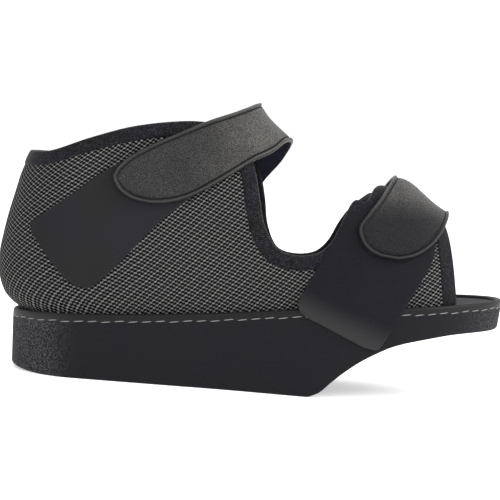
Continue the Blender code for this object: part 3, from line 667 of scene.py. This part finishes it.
def foam_finish():
    s = Shader("sole_foam")
    place = s.place()
    grain = s.noise(place, 1.25, 3.0, 0.7)
    broad = s.noise(place, 0.02, 2.0)
    ends = s.along_shoe(*HEEL_LIGHTER_SPAN, *TOE_LIGHTER_SPAN)
    dark = s.mix(broad, (0.0086, 0.0086, 0.0089), (0.0084, 0.0082, 0.012))
    # Light specks, faint in the middle and full towards the heel and the toe.
    speck = s.times(s.span(grain, 0.46, 0.60), s.span(ends, 0.0, 1.0, 0.04, 1.0))
    colour = s.mix(speck, dark, (0.068, 0.068, 0.074))
    return s.finish(colour, 0.80, s.bump(grain, 0.20), gloss=0.12)


def rim_finish():
    s = Shader("rim_skin")
    place = s.place()
    grain = s.noise(place, 0.9, 2.0)
    ends = s.along_shoe(*HEEL_LIGHTER_SPAN, *TOE_LIGHTER_SPAN)
    colour = s.mix(grain, (0.005, 0.005, 0.0053), grey(0.0095))
    # The rim lighter towards the heel and the toe.
    colour = s.mix(s.times(ends, 0.8), colour, grey(0.024))
    return s.finish(colour, 0.50, s.bump(grain, 0.05), gloss=0.16)


def lining_finish(name, low, high):
    s = Shader(name)
    place = s.place()
    grain = s.noise(place, 1.6, 2.0)
    colour = s.mix(grain, (low, low, low * 1.15), (high, high, high * 1.15))
    return s.finish(colour, 0.9, s.bump(grain, 0.12), gloss=0.08)


def oval(s, cell, spot):
    """The spot's tone on its oval in each cell of the mesh, falling to 0 at its border."""
    total = None
    for share, middle, half in zip(cell, spot["middle"], spot["half"]):
        local = s.maths("SUBTRACT", s.maths("FRACT", s.maths("ADD", share, 0.5 - middle)), 0.5)
        square = s.maths("POWER", s.maths("ABSOLUTE", s.maths("DIVIDE", local, half)), 2.0)
        total = square if total is None else s.maths("ADD", total, square)
    return s.span(total, 1.3, 0.25, 0.0, spot["tone"])


def ovals(s, cell, spots):
    """The lightest of some ovals at each place."""
    most = oval(s, cell, spots[0])
    for spot in spots[1:]:
        most = s.maths("MAXIMUM", most, oval(s, cell, spot))
    return most


def mesh_finish():
    """Slanted yarns in rows, with holes between the rows, and a dark strip of painted shade up the heel's
    back.
    """
    s = Shader("spacer_mesh")
    u, v = s.cloth()
    wander = s.noise(s.place(), 0.16, 2.0)
    u = s.maths("SUBTRACT", s.times(wander, MESH_WANDER), u)
    cell = []
    for across, up in MESH_ROWS:
        cell.append(s.maths("ADD", s.times(u, across), s.times(v, up)))
    light = ovals(s, cell, MESH_YARNS)
    hole = ovals(s, cell, MESH_HOLES)
    fleck = s.noise(s.place(), 0.9, 2.0)
    light = s.times(light, s.span(fleck, 0.25, 0.70, 0.55, 1.0))
    ground = s.mix(hole, grey(0.022), grey(0.0004))
    colour = s.mix(light, ground, (0.25, 0.248, 0.243))
    # Painted shade: a dark strip up the heel's back, where its edge darkens.
    seam = s.span(s.maths("ABSOLUTE", u), HEEL_SHADE_HALF_WIDTH, HEEL_SHADE_HALF_WIDTH - HEEL_SHADE_BLUR)
    colour = s.mix(seam, colour, (0.008, 0.008, 0.01))
    height = s.maths("SUBTRACT", light, hole)
    return s.finish(colour, 0.85, s.bump(height, 0.30), gloss=0.05)


# Width of the painted highlight along the binding's free edge.
EDGE_HIGHLIGHT_WIDTH = 1.3


def binding_finish():
    """Fine twill, with a painted highlight along its free edge."""
    s = Shader("binding")
    u, v = s.cloth()
    ribs = s.maths("SINE", s.times(s.maths("ADD", u, s.times(v, 0.6)), 5.2))
    threads = s.maths("SINE", s.times(v, 7.0))
    weave = s.maths("ADD", s.times(s.maths("ADD", ribs, threads), 0.25), 0.5)
    fuzz = s.noise(s.place(), 1.1, 3.0, 0.7)
    broad = s.noise(s.place(), 0.05, 2.0)
    dark = s.mix(s.span(broad, 0.40, 0.60), (0.002, 0.002, 0.0024), (0.0026, 0.0026, 0.006))
    thread = s.times(weave, s.span(fuzz, 0.42, 0.66, 0.05, 1.0))
    colour = s.mix(thread, dark, (0.04, 0.04, 0.047))
    # Painted highlight along the free edge, where the light catches it.
    edge_highlight = s.times(s.span(v, BINDING_WIDTH - EDGE_HIGHLIGHT_WIDTH, BINDING_WIDTH - 0.1), s.span(fuzz, 0.35, 0.60))
    colour = s.mix(s.times(edge_highlight, 0.55), colour, (0.065, 0.065, 0.07))
    return s.finish(colour, 0.62, s.bump(weave, 0.12), Sheen_Weight=0.04, Sheen_Roughness=0.4, gloss=0.09)


# Distances in from a strap's edge: the bead's painted highlight, the end of the painted shade on the hem,
# the groove's painted shade, and where the pebbles start.
BEAD_HIGHLIGHT_BAND = (0.5, 1.0, 1.2, 1.6)
HEM_SHADE_END = (2.2, 1.7)
GROOVE_SHADE_BAND = (1.9, 2.3, 2.8, 3.2)
PEBBLE_START = (2.4, 3.4)


def leather_finish(name, low, high, fold_highlight_from):
    """Pebbled leatherette with a painted highlight towards the fold, a rolled edge whose bead carries a
    painted highlight with painted shade on the hem beside it, and a dark groove of painted shade inside
    it.
    """
    s = Shader(name)
    place = s.place()
    edge, along = s.cloth()
    pebbles = s.noise(s.stretched(place, (0.55, 0.8, 1.0)), 2.5, 2.0, 0.55)
    broad = s.noise(place, 0.05, 2.0)
    # Painted highlight: the strap lighter and warmer towards its fold, where the light catches it.
    fold_highlight = s.span(along, *fold_highlight_from)
    valley = s.mix(s.times(fold_highlight, 0.55), low, (0.06, 0.058, 0.055))
    hill = s.mix(fold_highlight, high, (0.122, 0.116, 0.108))
    colour = s.mix(s.span(pebbles, 0.40, 0.60), valley, hill)
    colour = s.mix(s.times(s.span(broad, 0.45, 0.65), 0.30), colour, low)
    # Painted highlight along the bead of the rolled edge.
    bead_highlight = s.band(edge, *BEAD_HIGHLIGHT_BAND)
    colour = s.mix(s.times(bead_highlight, 0.40), colour, (0.05, 0.049, 0.047))
    # Painted shade on the hem on both sides of the bead.
    hem_shade = s.span(edge, *HEM_SHADE_END)
    colour = s.mix(s.times(s.maths("SUBTRACT", hem_shade, bead_highlight), 0.6), colour, low)
    # Painted shade in the groove inside the rolled edge.
    groove_shade = s.band(edge, *GROOVE_SHADE_BAND)
    colour = s.mix(groove_shade, colour, grey(0.0015))
    height = s.times(pebbles, s.span(edge, *PEBBLE_START, 0.15, 1.0))
    return s.finish(colour, s.span(pebbles, 0.3, 0.7, 0.52, 0.40), s.bump(height, 1.0), gloss=0.20)


def underside_finish():
    s = Shader("strap_underside")
    fuzz = s.noise(s.place(), 2.0, 3.0)
    colour = s.mix(fuzz, (0.022, 0.023, 0.036), (0.036, 0.038, 0.06))
    return s.finish(colour, 0.9, s.bump(fuzz, 0.2), gloss=0.08)


# The length over which painted light lightens a panel's first end.
END_PAINTED_LIGHT_LENGTH = 17.0


def pile_finish(name, first, second, end_painted_light):
    """Loop pile whose tone wanders between two, with painted light making it lighter towards its first
    end by the last argument's share.
    """
    s = Shader(name)
    place = s.place()
    _edge, along = s.cloth()
    fuzz = s.noise(place, 2.4, 3.0, 0.6)
    broad = s.noise(place, 0.022, 1.0)
    colour = s.mix(s.span(broad, 0.42, 0.58), first, second)
    colour = s.mix(s.times(s.span(fuzz, 0.35, 0.70), 0.3), colour, (0.03, 0.03, 0.031))
    # Painted light: lighter towards the panel's first end.
    if end_painted_light:
        share = s.times(s.span(along, END_PAINTED_LIGHT_LENGTH, 0.0), end_painted_light)
        colour = s.mix(share, colour, grey(0.050))
    return s.finish(colour, 0.95, s.bump(fuzz, 0.06), Sheen_Weight=0.03, Sheen_Roughness=0.5, gloss=0.06)


def thread_finish(name, colour):
    s = Shader(name)
    return s.finish(colour, 0.7, gloss=0.3)


# Pieces

# Edges bent by more degrees than this stay sharp on the sole and the insole.
EDGE_ANGLE = 50.0


def capped_piece(name, loops, material):
    """A piece from loops round the sole's outline, closed at the first and the last."""
    count = len(loops[0])
    faces = ring_faces(len(loops), count, False)
    faces += strip_cap(0, count) + strip_cap((len(loops) - 1) * count, count)
    turn_outwards(new_piece(name, np.vstack(loops), faces, [material], name, sharp=EDGE_ANGLE))


def make_sole(material):
    stations = sole_stations()
    radius = FLOOR_EDGE_RADIUS
    loops = [outline_loop(stations, 0.0, sole_top)]
    for share in np.linspace(1.0, 0.0, 16)[1:-1]:
        loops.append(outline_loop(
            stations, SIDE_DRAFT * (1.0 - share),
            lambda x, s=share: sole_bottom(x) + radius + s * (sole_top(x) - sole_bottom(x) - radius),
        ))
    for angle in np.linspace(0.0, math.pi / 2, 8):
        loops.append(outline_loop(
            stations, SIDE_DRAFT + radius * (1 - math.cos(angle)),
            lambda x, a=angle: sole_bottom(x) + radius * (1 - math.sin(a)),
        ))
    capped_piece("sole", loops, material)


# Profile of the rim, from its foot on the outside over its lip to its foot on the inside.
# inset is a share of the rim's width and down a share of its height.
RIM_PROFILE = rows_of(
    "inset down",
    (0, 0.99), (0.025, 0.95), (0.05, 0.9), (0.05, 0.85), (0.01, 0.78), (0, 0.62), (0, 0.45),
    (0.02, 0.3), (0.09, 0.16), (0.21, 0.06), (0.36, 0.01), (0.52, 0), (0.7, 0.03), (0.86, 0.1),
    (0.96, 0.22), (1, 0.38), (1, 0.99),
)


def make_rim(material):
    stations = sole_stations()
    loops = []
    for row in RIM_PROFILE:
        loops.append(outline_loop(
            stations, row["inset"] * RIM_WIDTH, lambda x, d=row["down"]: rim_top(x) - d * RIM_HEIGHT
        ))
    faces = ring_faces(len(loops), len(loops[0]), True)
    turn_outwards(new_piece("rim", np.vstack(loops), faces, [material], "rim"))


def insole_inset(x):
    inside = RIM_WIDTH + WALL + BINDING_PAD + GAP + INSOLE_EASE
    flare_start = TOE_OPENING + GAP + INSOLE_EASE
    flare = smoothstep(x, flare_start, flare_start + INSOLE_FLARE)
    return inside + (RIM_WIDTH + GAP - inside) * flare


# The dish in the insole's top: distance in from its border and share of the full depth.
INSOLE_ROWS = ((30.0, 1.0), (22.0, 1.0), (INSOLE_DISH_BORDER, 1.0), (7.0, 0.5), (3.0, 0.1))


def make_insole(material):
    stations = sole_stations()
    top = INSOLE_THICKNESS + GAP
    loops = []
    for extra, down in INSOLE_ROWS:
        loops.append(outline_loop(
            stations, lambda x, e=extra: insole_inset(x) + e,
            lambda x, d=down: sole_top(x) + top - d * INSOLE_DISH,
        ))
    for angle in np.linspace(math.pi / 2, 0, 5):
        loops.append(outline_loop(
            stations, lambda x, a=angle: insole_inset(x) + INSOLE_EDGE * (1 - math.cos(a)),
            lambda x, a=angle: sole_top(x) + top - INSOLE_EDGE * (1 - math.sin(a)),
        ))
    loops.append(outline_loop(stations, insole_inset, lambda x: sole_top(x) + GAP))
    capped_piece("insole", loops, material)


def cloth_length(x):
    """Length round the outline from the heel's back to station x."""
    half = half_width(STATION_GRID, RIM_WIDTH + GAP)
    steps = np.hypot(np.diff(STATION_GRID), np.diff(half))
    return np.interp(x, STATION_GRID, np.concatenate([[0.0], np.cumsum(steps)]))


# How far the mesh goes in under the binding, and the length over which it does at the toe.
SEAM_TUCK = 1.5
TUCK_RUN = 40.0


def wall_columns(edge, rows):
    """Arrays of stations and arcs, a row per column, that fill the wall up to the binding."""
    seam = inside_line(edge, BINDING_WIDTH + GAP)
    end_x = TOE_OPENING - BINDING_WIDTH - GAP
    corner_x = TOE_OPENING - TOE_EDGE_RAKE - BINDING_WIDTH - GAP
    corner_arc = seam[-1][1] + crown_arc(corner_x) - crown_arc(seam[-1][0])
    seam = np.vstack([seam, np.array([corner_x, corner_arc])])
    along = run_length(seam)
    first = int(np.searchsorted(seam[:, 0], HEEL_ROUND))
    feet = seam[:, 0].copy()
    share = (along[first:] - along[first]) / (along[-1] - along[first])
    even = seam[first, 0] + share * (end_x - seam[first, 0])
    own = seam[first, 0] + (seam[first:, 0] - seam[first, 0]) * (
        (end_x - seam[first, 0]) / (corner_x - seam[first, 0])
    )
    feet[first:] = EVEN_FEET * even + (1.0 - EVEN_FEET) * own
    seam = inside_line(edge, BINDING_WIDTH - SEAM_TUCK)
    seam = np.vstack([seam, np.array([corner_x + SEAM_TUCK, corner_arc + SEAM_TUCK])])
    feet[first:] += SEAM_TUCK * smoothstep(feet[first:], end_x - TUCK_RUN, end_x)
    rim = RIM_HEIGHT / seam[:, 1:2]
    t = np.linspace(0, 1, rows - 1)[None, :] ** WALL_BUNCHING
    shares = np.hstack([np.zeros_like(rim), rim + (1.0 - rim) * t])
    x = feet[:, None] + (seam[:, 0:1] - feet[:, None]) * shares
    return x, seam[:, 1:2] * shares


def make_upper(mesh_material, lining_material):
    outer, inner, uvs = [], [], []
    columns, rows = 0, WALL_ROWS
    for side in (-1, 1):
        x, arc = wall_columns(EDGES[side], rows)
        x, arc = (x[::-1], arc[::-1]) if side < 0 else (x[1:], arc[1:])
        columns += len(x)
        flat_x, flat_arc = x.ravel(), arc.ravel()
        outer.append(sunk_point(flat_x, flat_arc, side, 0.0))
        inner.append(sunk_point(flat_x, flat_arc, side, -WALL))
        uvs.append(np.stack([side * cloth_length(flat_x), flat_arc], axis=1))
    faces = grid_faces(columns, rows)
    new_piece("upper", np.vstack(outer), faces, [mesh_material], "upper", np.vstack(uvs))
    new_piece("upper_lining", np.vstack(inner), grid_faces(columns, rows, 0, True),
              [lining_material], None, np.vstack(uvs))


# Cross-section of the edge binding, as in the part but rounder.
BINDING_SECTION = rows_of(
    "across pad deep",
    (0, 0.05, 0), (0.06, 0.55, 0), (0.15, 0.85, 0), (0.3, 1, 0), (0.45, 1, 0), (0.6, 0.96, 0),
    (0.72, 0.9, 0), (0.84, 0.78, 0), (0.92, 0.55, 0), (0.97, 0.2, 0.1), (1, 0, 0.3), (1, 0, 0.75),
    (0.96, -0.3, 0.95), (0.8, -0.8, 1), (0.55, -0.9, 1), (0.35, -1, 1), (0.1, -0.6, 1),
    (0, -0.1, 1),
)


def binding_line(edge):
    """Arrays of (station, arc) on the free edge and on the seam, from the heel to the rim."""
    seam = inside_line(edge, BINDING_WIDTH)
    corner_x = TOE_OPENING - TOE_EDGE_RAKE
    corner_arc = float(crown_arc(corner_x)) + FLAP_LAP
    seam_x = corner_x - BINDING_WIDTH
    seam_arc = float(crown_arc(seam_x)) + FLAP_LAP - BINDING_WIDTH
    share = np.concatenate([[0.0, 0.03, 0.07], np.linspace(0.12, 1.0, 70)])
    free_end = np.stack([corner_x + share * TOE_EDGE_RAKE, corner_arc * (1 - share)], axis=1)
    seam_end = np.stack([seam_x + share * TOE_EDGE_RAKE, seam_arc * (1 - share)], axis=1)
    return np.vstack([edge, free_end]), np.vstack([seam, seam_end])


def make_binding(material):
    rings, uvs = [], []
    run = 0.0
    for side in (-1, 1):
        free, seam = binding_line(EDGES[side])
        if side < 0:
            free, seam = free[::-1], seam[::-1]
        else:
            free, seam = free[1:], seam[1:]
        along = run_length(last_surface(np.maximum(free[:, 0], BACK), free[:, 1], side)) + run
        run = along[-1]
        for row in BINDING_SECTION:
            place = seam + (free - seam) * row["across"]
            proud = np.full(len(place), row["pad"] * BINDING_PAD)
            if row["pad"] > 0:
                proud *= smoothstep(place[:, 1], RIM_HEIGHT - GAP, RIM_HEIGHT + PAD_FADE)
            out = proud - row["deep"] * WALL
            rings.append((side, sunk_point(place[:, 0], place[:, 1], side, out)))
            across = row["across"] * BINDING_WIDTH * (1 if row["deep"] < 0.5 else -1)
            uvs.append((side, np.stack([along, np.full(len(along), across)], axis=1)))
    grids = []
    for pieces in (rings, uvs):
        left = np.stack([p for s, p in pieces if s < 0], axis=1)
        right = np.stack([p for s, p in pieces if s > 0], axis=1)
        grids.append(np.concatenate([left, right], axis=0))
    points, cloth = grids
    count = points.shape[1]
    faces = ring_faces(points.shape[0], count, False)
    for start in (0, (points.shape[0] - 1) * count):
        faces.append(tuple(range(start, start + count)))
    item = new_piece("edge_binding", points.reshape(-1, 3), faces, [material],
                     "edge_binding", cloth.reshape(-1, 2))
    turn_outwards(item)


def border_distance(places):
    """Distance of each point of a grid from the grid's border."""
    border = np.vstack([places[0], places[-1], places[:, 0], places[:, -1]])
    flat = places.reshape(-1, 3)
    nearest = np.full(len(flat), 1e9)
    for start in range(0, len(border), 64):
        part = border[start:start + 64]
        gaps = np.linalg.norm(flat[:, None, :] - part[None, :, :], axis=2).min(axis=1)
        nearest = np.minimum(nearest, gaps)
    return nearest.reshape(places.shape[:2])


def edge_fall(distance, radius):
    """How far a rounded edge lies under the face at a distance from the border."""
    t = np.clip(distance / radius, 0.0, 1.0)
    return radius * (1.0 - np.sqrt(1.0 - (1.0 - t) ** 2))


def ridge(value, middle, width):
    return np.exp(-(((value - middle) / width) ** 2))


STRAP_GRID = (240, 64)
PANEL_GRID = (160, 70)
STRAP_EDGE_RADIUS = 1.3
STRAP_UNDER_RADIUS = 0.7
PANEL_EDGE_RADIUS = 0.8
BEAD_PLACE = 1.25
BEAD_RISE = 0.45
BEAD_WIDTH = 0.85
GROOVE_PLACE = 2.6
GROOVE_DEPTH = 0.65
GROOVE_WIDTH = 0.55

# The straps' stitches: how far in, the step they are counted in, and steps from one to the next.
STITCH_PLACE = 2.8
STITCH_STEP = 0.6
STITCH_STEPS = 3
STITCH_PROUD = 0.05
THREAD_RADIUS = 0.30


def strap_rows(table, panel_lift, count):
    clear = panel_lift + PANEL_THICKNESS + STRAP_EASE
    rows = []
    for row in table:
        back, front = row["back"] * SOLE_LENGTH, row["front"] * SOLE_LENGTH
        rows.append((
            back, row["back_girth"] * float(crown_arc(back)),
            front, row["front_girth"] * float(crown_arc(front)),
            GAP + clear * row["seat"], row["fold"],
        ))
    return spline_through(rows, count)


def fold_rise(share):
    """How far a flat fold raises the strap at a share of the way across it."""
    edge = (2 * share - 1) ** 2
    return FOLD_EDGE_LIFT * edge - FOLD_MIDDLE_DROP * (1 - edge)


def across_rows(rows, across):
    """The shares of the way across, and the two places on each row there."""
    share = 0.5 - 0.5 * np.cos(np.linspace(0, 1, across) * math.pi)
    first = rows[:, 0:1] + (rows[:, 2:3] - rows[:, 0:1]) * share
    return share, first, rows[:, 1:2] + (rows[:, 3:4] - rows[:, 1:2]) * share


def edge_map(distance, middle):
    """Cloth coordinates for both faces: the distance from the border and the length along."""
    along = run_length(middle[:, middle.shape[1] // 2])
    along = np.repeat(along[:, None], middle.shape[1], axis=1)
    return np.tile(np.stack([distance.ravel(), along.ravel()], axis=1), (2, 1))


def make_strap(name, table, panel_lift, materials):
    count, across = STRAP_GRID
    rows = strap_rows(table, panel_lift, count)
    share, x, arc = across_rows(rows, across)
    under = rows[:, 4:5] + rows[:, 5:6] * fold_rise(share)
    shape = x.shape
    middle = upper_point(x.ravel(), arc.ravel(), -1, under.ravel()).reshape(*shape, 3)
    distance = border_distance(middle)
    top = under + STRAP_THICKNESS - edge_fall(distance, STRAP_EDGE_RADIUS)
    top = top + BEAD_RISE * ridge(distance, BEAD_PLACE, BEAD_WIDTH)
    top = top - GROOVE_DEPTH * ridge(distance, GROOVE_PLACE, GROOVE_WIDTH)
    bottom = under + edge_fall(distance, STRAP_UNDER_RADIUS)
    outer = upper_point(x.ravel(), arc.ravel(), -1, top.ravel())
    inner = upper_point(x.ravel(), arc.ravel(), -1, bottom.ravel())
    faces = closed_grids(*shape)
    item = new_piece(name, np.vstack([outer, inner]), faces, materials, name,
                     edge_map(distance, middle))
    underside = (shape[0] - 1) * (shape[1] - 1)
    for index, polygon in enumerate(item.data.polygons):
        if underside <= index < 2 * underside:
            polygon.material_index = 1
    stitch_line(name + "_stitches", x, arc, top, distance, THREAD_DARK)


def contour(x, arc, top, distance, level):
    """The line at a distance inside the border as (station, arc, height) rows, end to end."""
    back, front = [], []
    for i in range(x.shape[0]):
        inside = np.nonzero(distance[i] >= level)[0]
        if len(inside) < 2 or inside[0] == 0:
            continue
        for j, step, into in ((inside[0], -1, back), (inside[-1], 1, front)):
            k = min(max(j + step, 0), x.shape[1] - 1)
            t = (distance[i, j] - level) / max(distance[i, j] - distance[i, k], 1e-6)
            into.append([grid[i, j] + (grid[i, k] - grid[i, j]) * t for grid in (x, arc, top)])
    return np.array(back[::-1] + front)


def stitch_line(name, x, arc, top, distance, material):
    line = contour(x, arc, top, distance, STITCH_PLACE)
    places = upper_point(line[:, 0], line[:, 1], -1, line[:, 2])
    along = run_length(places)
    fine = [np.interp(np.arange(0.0, along[-1], STITCH_STEP), along, line[:, k]) for k in range(3)]
    starts, ends = [], []
    for i in range(0, len(fine[0]) - STITCH_STEPS, STITCH_STEPS):
        starts.append([grid[i] for grid in fine])
        ends.append([grid[i + STITCH_STEPS - 1] for grid in fine])
    starts, ends = np.array(starts), np.array(ends)
    a = upper_point(starts[:, 0], starts[:, 1], -1, starts[:, 2] + STITCH_PROUD)
    b = upper_point(ends[:, 0], ends[:, 1], -1, ends[:, 2] + STITCH_PROUD)
    capsules(name, a, b, THREAD_RADIUS, material)


# A stitch's shape: share of its length and share of its radius.
THREAD_PROFILE = ((0.0, 0.15), (0.12, 0.8), (0.35, 1.0), (0.65, 1.0), (0.88, 0.8), (1.0, 0.15))
THREAD_SIDES = 6


def capsules(name, starts, ends, radius, material):
    """Short round stitches from starts to ends, joined as one piece."""
    sides, shares = THREAD_SIDES, THREAD_PROFILE
    vertices, faces = [], []
    for start, end in zip(starts, ends):
        axis = end - start
        across = np.cross(axis, (0.0, 0.3, 1.0))
        across /= np.linalg.norm(across)
        up = np.cross(across, axis)
        up /= np.linalg.norm(up)
        base = len(vertices)
        for share, wide in shares:
            for k in range(sides):
                angle = 2 * math.pi * k / sides
                spoke = math.cos(angle) * across + math.sin(angle) * up
                vertices.append(start + axis * share + radius * wide * spoke)
        for row in range(len(shares) - 1):
            for k in range(sides):
                n = (k + 1) % sides
                faces.append((base + row * sides + k, base + row * sides + n,
                              base + (row + 1) * sides + n, base + (row + 1) * sides + k))
        faces.append(tuple(base + k for k in range(sides)))
        faces.append(tuple(base + (len(shares) - 1) * sides + k for k in range(sides))[::-1])
    turn_outwards(new_piece(name, np.array(vertices), faces, [material], None))


# The rim's stitches
STITCH_DOWN = 4.2
STITCH_PITCH = 7.5
STITCH_LENGTH = 5.4
STITCH_SLANT = 0.18
STITCH_WOBBLE = 0.25
WOBBLE_TURN = 2.399


def make_rim_stitches(material):
    loop = outline_loop(sole_stations(), -STITCH_PROUD, lambda x: rim_top(x) - STITCH_DOWN)
    loop = np.vstack([loop, loop[:1]])
    along = run_length(loop)
    count = int(along[-1] // STITCH_PITCH)
    begin = np.arange(count) * along[-1] / count

    def at(distance, drop):
        place = np.stack([np.interp(distance, along, loop[:, k]) for k in range(3)], axis=1)
        place[:, 2] += drop
        return place

    wobble = STITCH_WOBBLE * np.sin(np.arange(count) * WOBBLE_TURN)
    starts = at(begin, -STITCH_SLANT + wobble)
    ends = at(begin + STITCH_LENGTH, STITCH_SLANT + wobble)
    capsules("rim_stitches", starts, ends, THREAD_RADIUS, material)


def flank_point(x, rise, out):
    """Points on the outer flank: the sole's side under the rim's top, the upper over it."""
    low = sole_bottom(x) + FLOOR_EDGE_RADIUS
    z = np.maximum(rim_top(x) + rise, low)
    up = np.minimum((z - low) / (sole_top(x) - low), 1.0)
    inset = SIDE_DRAFT * (1.0 - up)
    half = half_width(x, inset)
    on_sole = np.stack([x, middle_line(x) - half - out, z], axis=1)
    on_upper = upper_point(x, RIM_HEIGHT + np.maximum(rise, 0.0), -1, out)
    return on_sole + (on_upper - on_sole) * smoothstep(rise, 0.5, BRIDGE_RISE)[:, None]


def make_panel(name, table, panel_lift, material):
    count, across = PANEL_GRID
    rows = []
    for row in table:
        line = []
        for edge in ("back", "front"):
            x = row[edge] * SOLE_LENGTH
            over = float(crown_arc(x)) - RIM_HEIGHT
            line += [x, row[edge + "_up"] * (over if row[edge + "_up"] > 0 else PANEL_DROP)]
        rows.append(line + [GAP + panel_lift * row["lift"]])
    rows = spline_through(rows, count)
    _share, x, rise = across_rows(rows, across)
    under = np.repeat(rows[:, 4:5], across, axis=1)
    shape = x.shape
    middle = flank_point(x.ravel(), rise.ravel(), under.ravel()).reshape(*shape, 3)
    distance = border_distance(middle)
    top = under + PANEL_THICKNESS - edge_fall(distance, PANEL_EDGE_RADIUS)
    outer = flank_point(x.ravel(), rise.ravel(), top.ravel())
    inner = flank_point(x.ravel(), rise.ravel(), under.ravel())
    new_piece(name, np.vstack([outer, inner]), closed_grids(*shape), [material],
              name, edge_map(distance, middle))


# The view

VIEW_TARGET = (133.2, 0.0, 76.4)
VIEW_DISTANCE = 1000.0
VIEW_ROLL = 4.39
VIEW_PITCH = 3.6
VIEW_LENS = 124.85
WORLD_STRENGTH = 1.05
FLOOR_GLOW = 0.45
FLOOR_REACH = 6.0
# Places, targets and sizes in metres, and power in watts.
LIGHTS = rows_of(
    "name place target size power",
    ("key", (0.3, -1.5, 1.3), (0.05, 0.0, 0.05), (1.0, 0.8), 7.0),
    ("right", (1.4, -0.5, 1.2), (0.06, 0.0, 0.1), (0.7, 0.7), 19.0),
    ("back", (-0.4, 1.6, 1.2), (0.05, 0.0, 0.1), (1.4, 1.0), 5.0),
)


def in_row_frame(right, ahead, up):
    """A direction given along the camera's level axes, turned into the shoe's frame."""
    pitch, roll = math.radians(VIEW_PITCH), math.radians(VIEW_ROLL)
    y = ahead * math.cos(pitch) + up * math.sin(pitch)
    z = -ahead * math.sin(pitch) + up * math.cos(pitch)
    x = right * math.cos(roll) - z * math.sin(roll)
    return Vector((x, y, right * math.sin(roll) + z * math.cos(roll)))


def add_camera():
    data = bpy.data.cameras.new("camera")
    data.lens = VIEW_LENS
    data.sensor_width = 36.0
    data.clip_start = 0.01
    camera = add_object("camera", data)
    right, ahead, up = in_row_frame(1, 0, 0), in_row_frame(0, 1, 0), in_row_frame(0, 0, 1)
    target = Vector(((VIEW_TARGET[0] - ORIGIN) * MM, VIEW_TARGET[1] * MM, VIEW_TARGET[2] * MM))
    place = target - ahead * VIEW_DISTANCE * MM
    turned = Matrix((right, up, -ahead)).transposed().to_4x4()
    turned.translation = place
    camera.matrix_world = turned
    bpy.context.scene.camera = camera


def add_light(name, place, target, size, power):
    data = bpy.data.lights.new(name, "AREA")
    data.shape = "RECTANGLE"
    data.size, data.size_y = size
    data.energy = power
    light = add_object(name, data)
    light.location = place
    light.rotation_euler = (Vector(target) - Vector(place)).to_track_quat("-Z", "Y").to_euler()


def add_studio():
    world = bpy.data.worlds.new("studio")
    world.use_nodes = True
    background = world.node_tree.nodes["Background"]
    background.inputs["Color"].default_value = (1.0, 1.0, 1.0, 1.0)
    background.inputs["Strength"].default_value = WORLD_STRENGTH
    bpy.context.scene.world = world
    mesh = bpy.data.meshes.new("floor")
    reach = FLOOR_REACH
    corners = [(-reach, -reach, 0), (reach, -reach, 0), (reach, reach, 0), (-reach, reach, 0)]
    mesh.from_pydata(corners, [], [(0, 1, 2, 3)])
    floor = add_object("floor", mesh)
    s = Shader("floor")
    glow = dict(Emission_Color=(1.0, 1.0, 1.0, 1.0), Emission_Strength=FLOOR_GLOW)
    mesh.materials.append(s.finish(grey(0.93), 0.9, gloss=0.1, **glow))
    for light in LIGHTS:
        add_light(**light)


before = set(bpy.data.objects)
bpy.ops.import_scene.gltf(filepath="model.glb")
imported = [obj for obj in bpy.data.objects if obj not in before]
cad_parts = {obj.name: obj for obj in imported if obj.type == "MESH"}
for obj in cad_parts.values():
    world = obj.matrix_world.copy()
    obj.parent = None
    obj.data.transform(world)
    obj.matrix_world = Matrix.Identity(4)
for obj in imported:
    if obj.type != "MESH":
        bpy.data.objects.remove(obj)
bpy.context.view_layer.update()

THREAD_DARK = thread_finish("thread_dark", (0.004, 0.004, 0.005))
THREAD_GREY = thread_finish("thread_grey", grey(0.19))
# The last pair on each leatherette gives the lengths along the strap over which its painted fold
# highlight comes in.
ANKLE_LEATHER = leather_finish("ankle_leatherette", grey(0.0100), (0.044, 0.0438, 0.0434), (42.0, 86.0))
FOREFOOT_LEATHER = leather_finish("forefoot_leatherette", (0.0045, 0.0044, 0.006),
                                  (0.012, 0.0116, 0.0142), (22.0, 56.0))
UNDERSIDE = underside_finish()
REAR_PILE = pile_finish("ankle_pile", (0.015, 0.015, 0.0151), (0.0152, 0.0148, 0.019), 0.0)
FRONT_PILE = pile_finish("forefoot_pile", (0.008, 0.0078, 0.011), (0.0076, 0.0074, 0.01), 0.55)

make_sole(foam_finish())
make_rim(rim_finish())
make_rim_stitches(THREAD_GREY)
# The insole's cloth is the lining's finish made much lighter: painted light on its top, which is seen at
# a grazing angle.
make_insole(lining_finish("insole_cloth", 0.046, 0.070))
make_upper(mesh_finish(), lining_finish("lining", 0.006, 0.012))
make_binding(binding_finish())
make_strap("ankle_strap", ANKLE_STRAP, 0.0, [ANKLE_LEATHER, UNDERSIDE])
make_strap("forefoot_strap", FOREFOOT_STRAP, PANEL_LIFT, [FOREFOOT_LEATHER, UNDERSIDE])
make_panel("ankle_panel", ANKLE_PANEL, 0.0, REAR_PILE)
make_panel("forefoot_panel", FOREFOOT_PANEL, PANEL_LIFT, FRONT_PILE)
add_camera()
add_studio()
bpy.context.scene.view_settings.view_transform = "Standard"
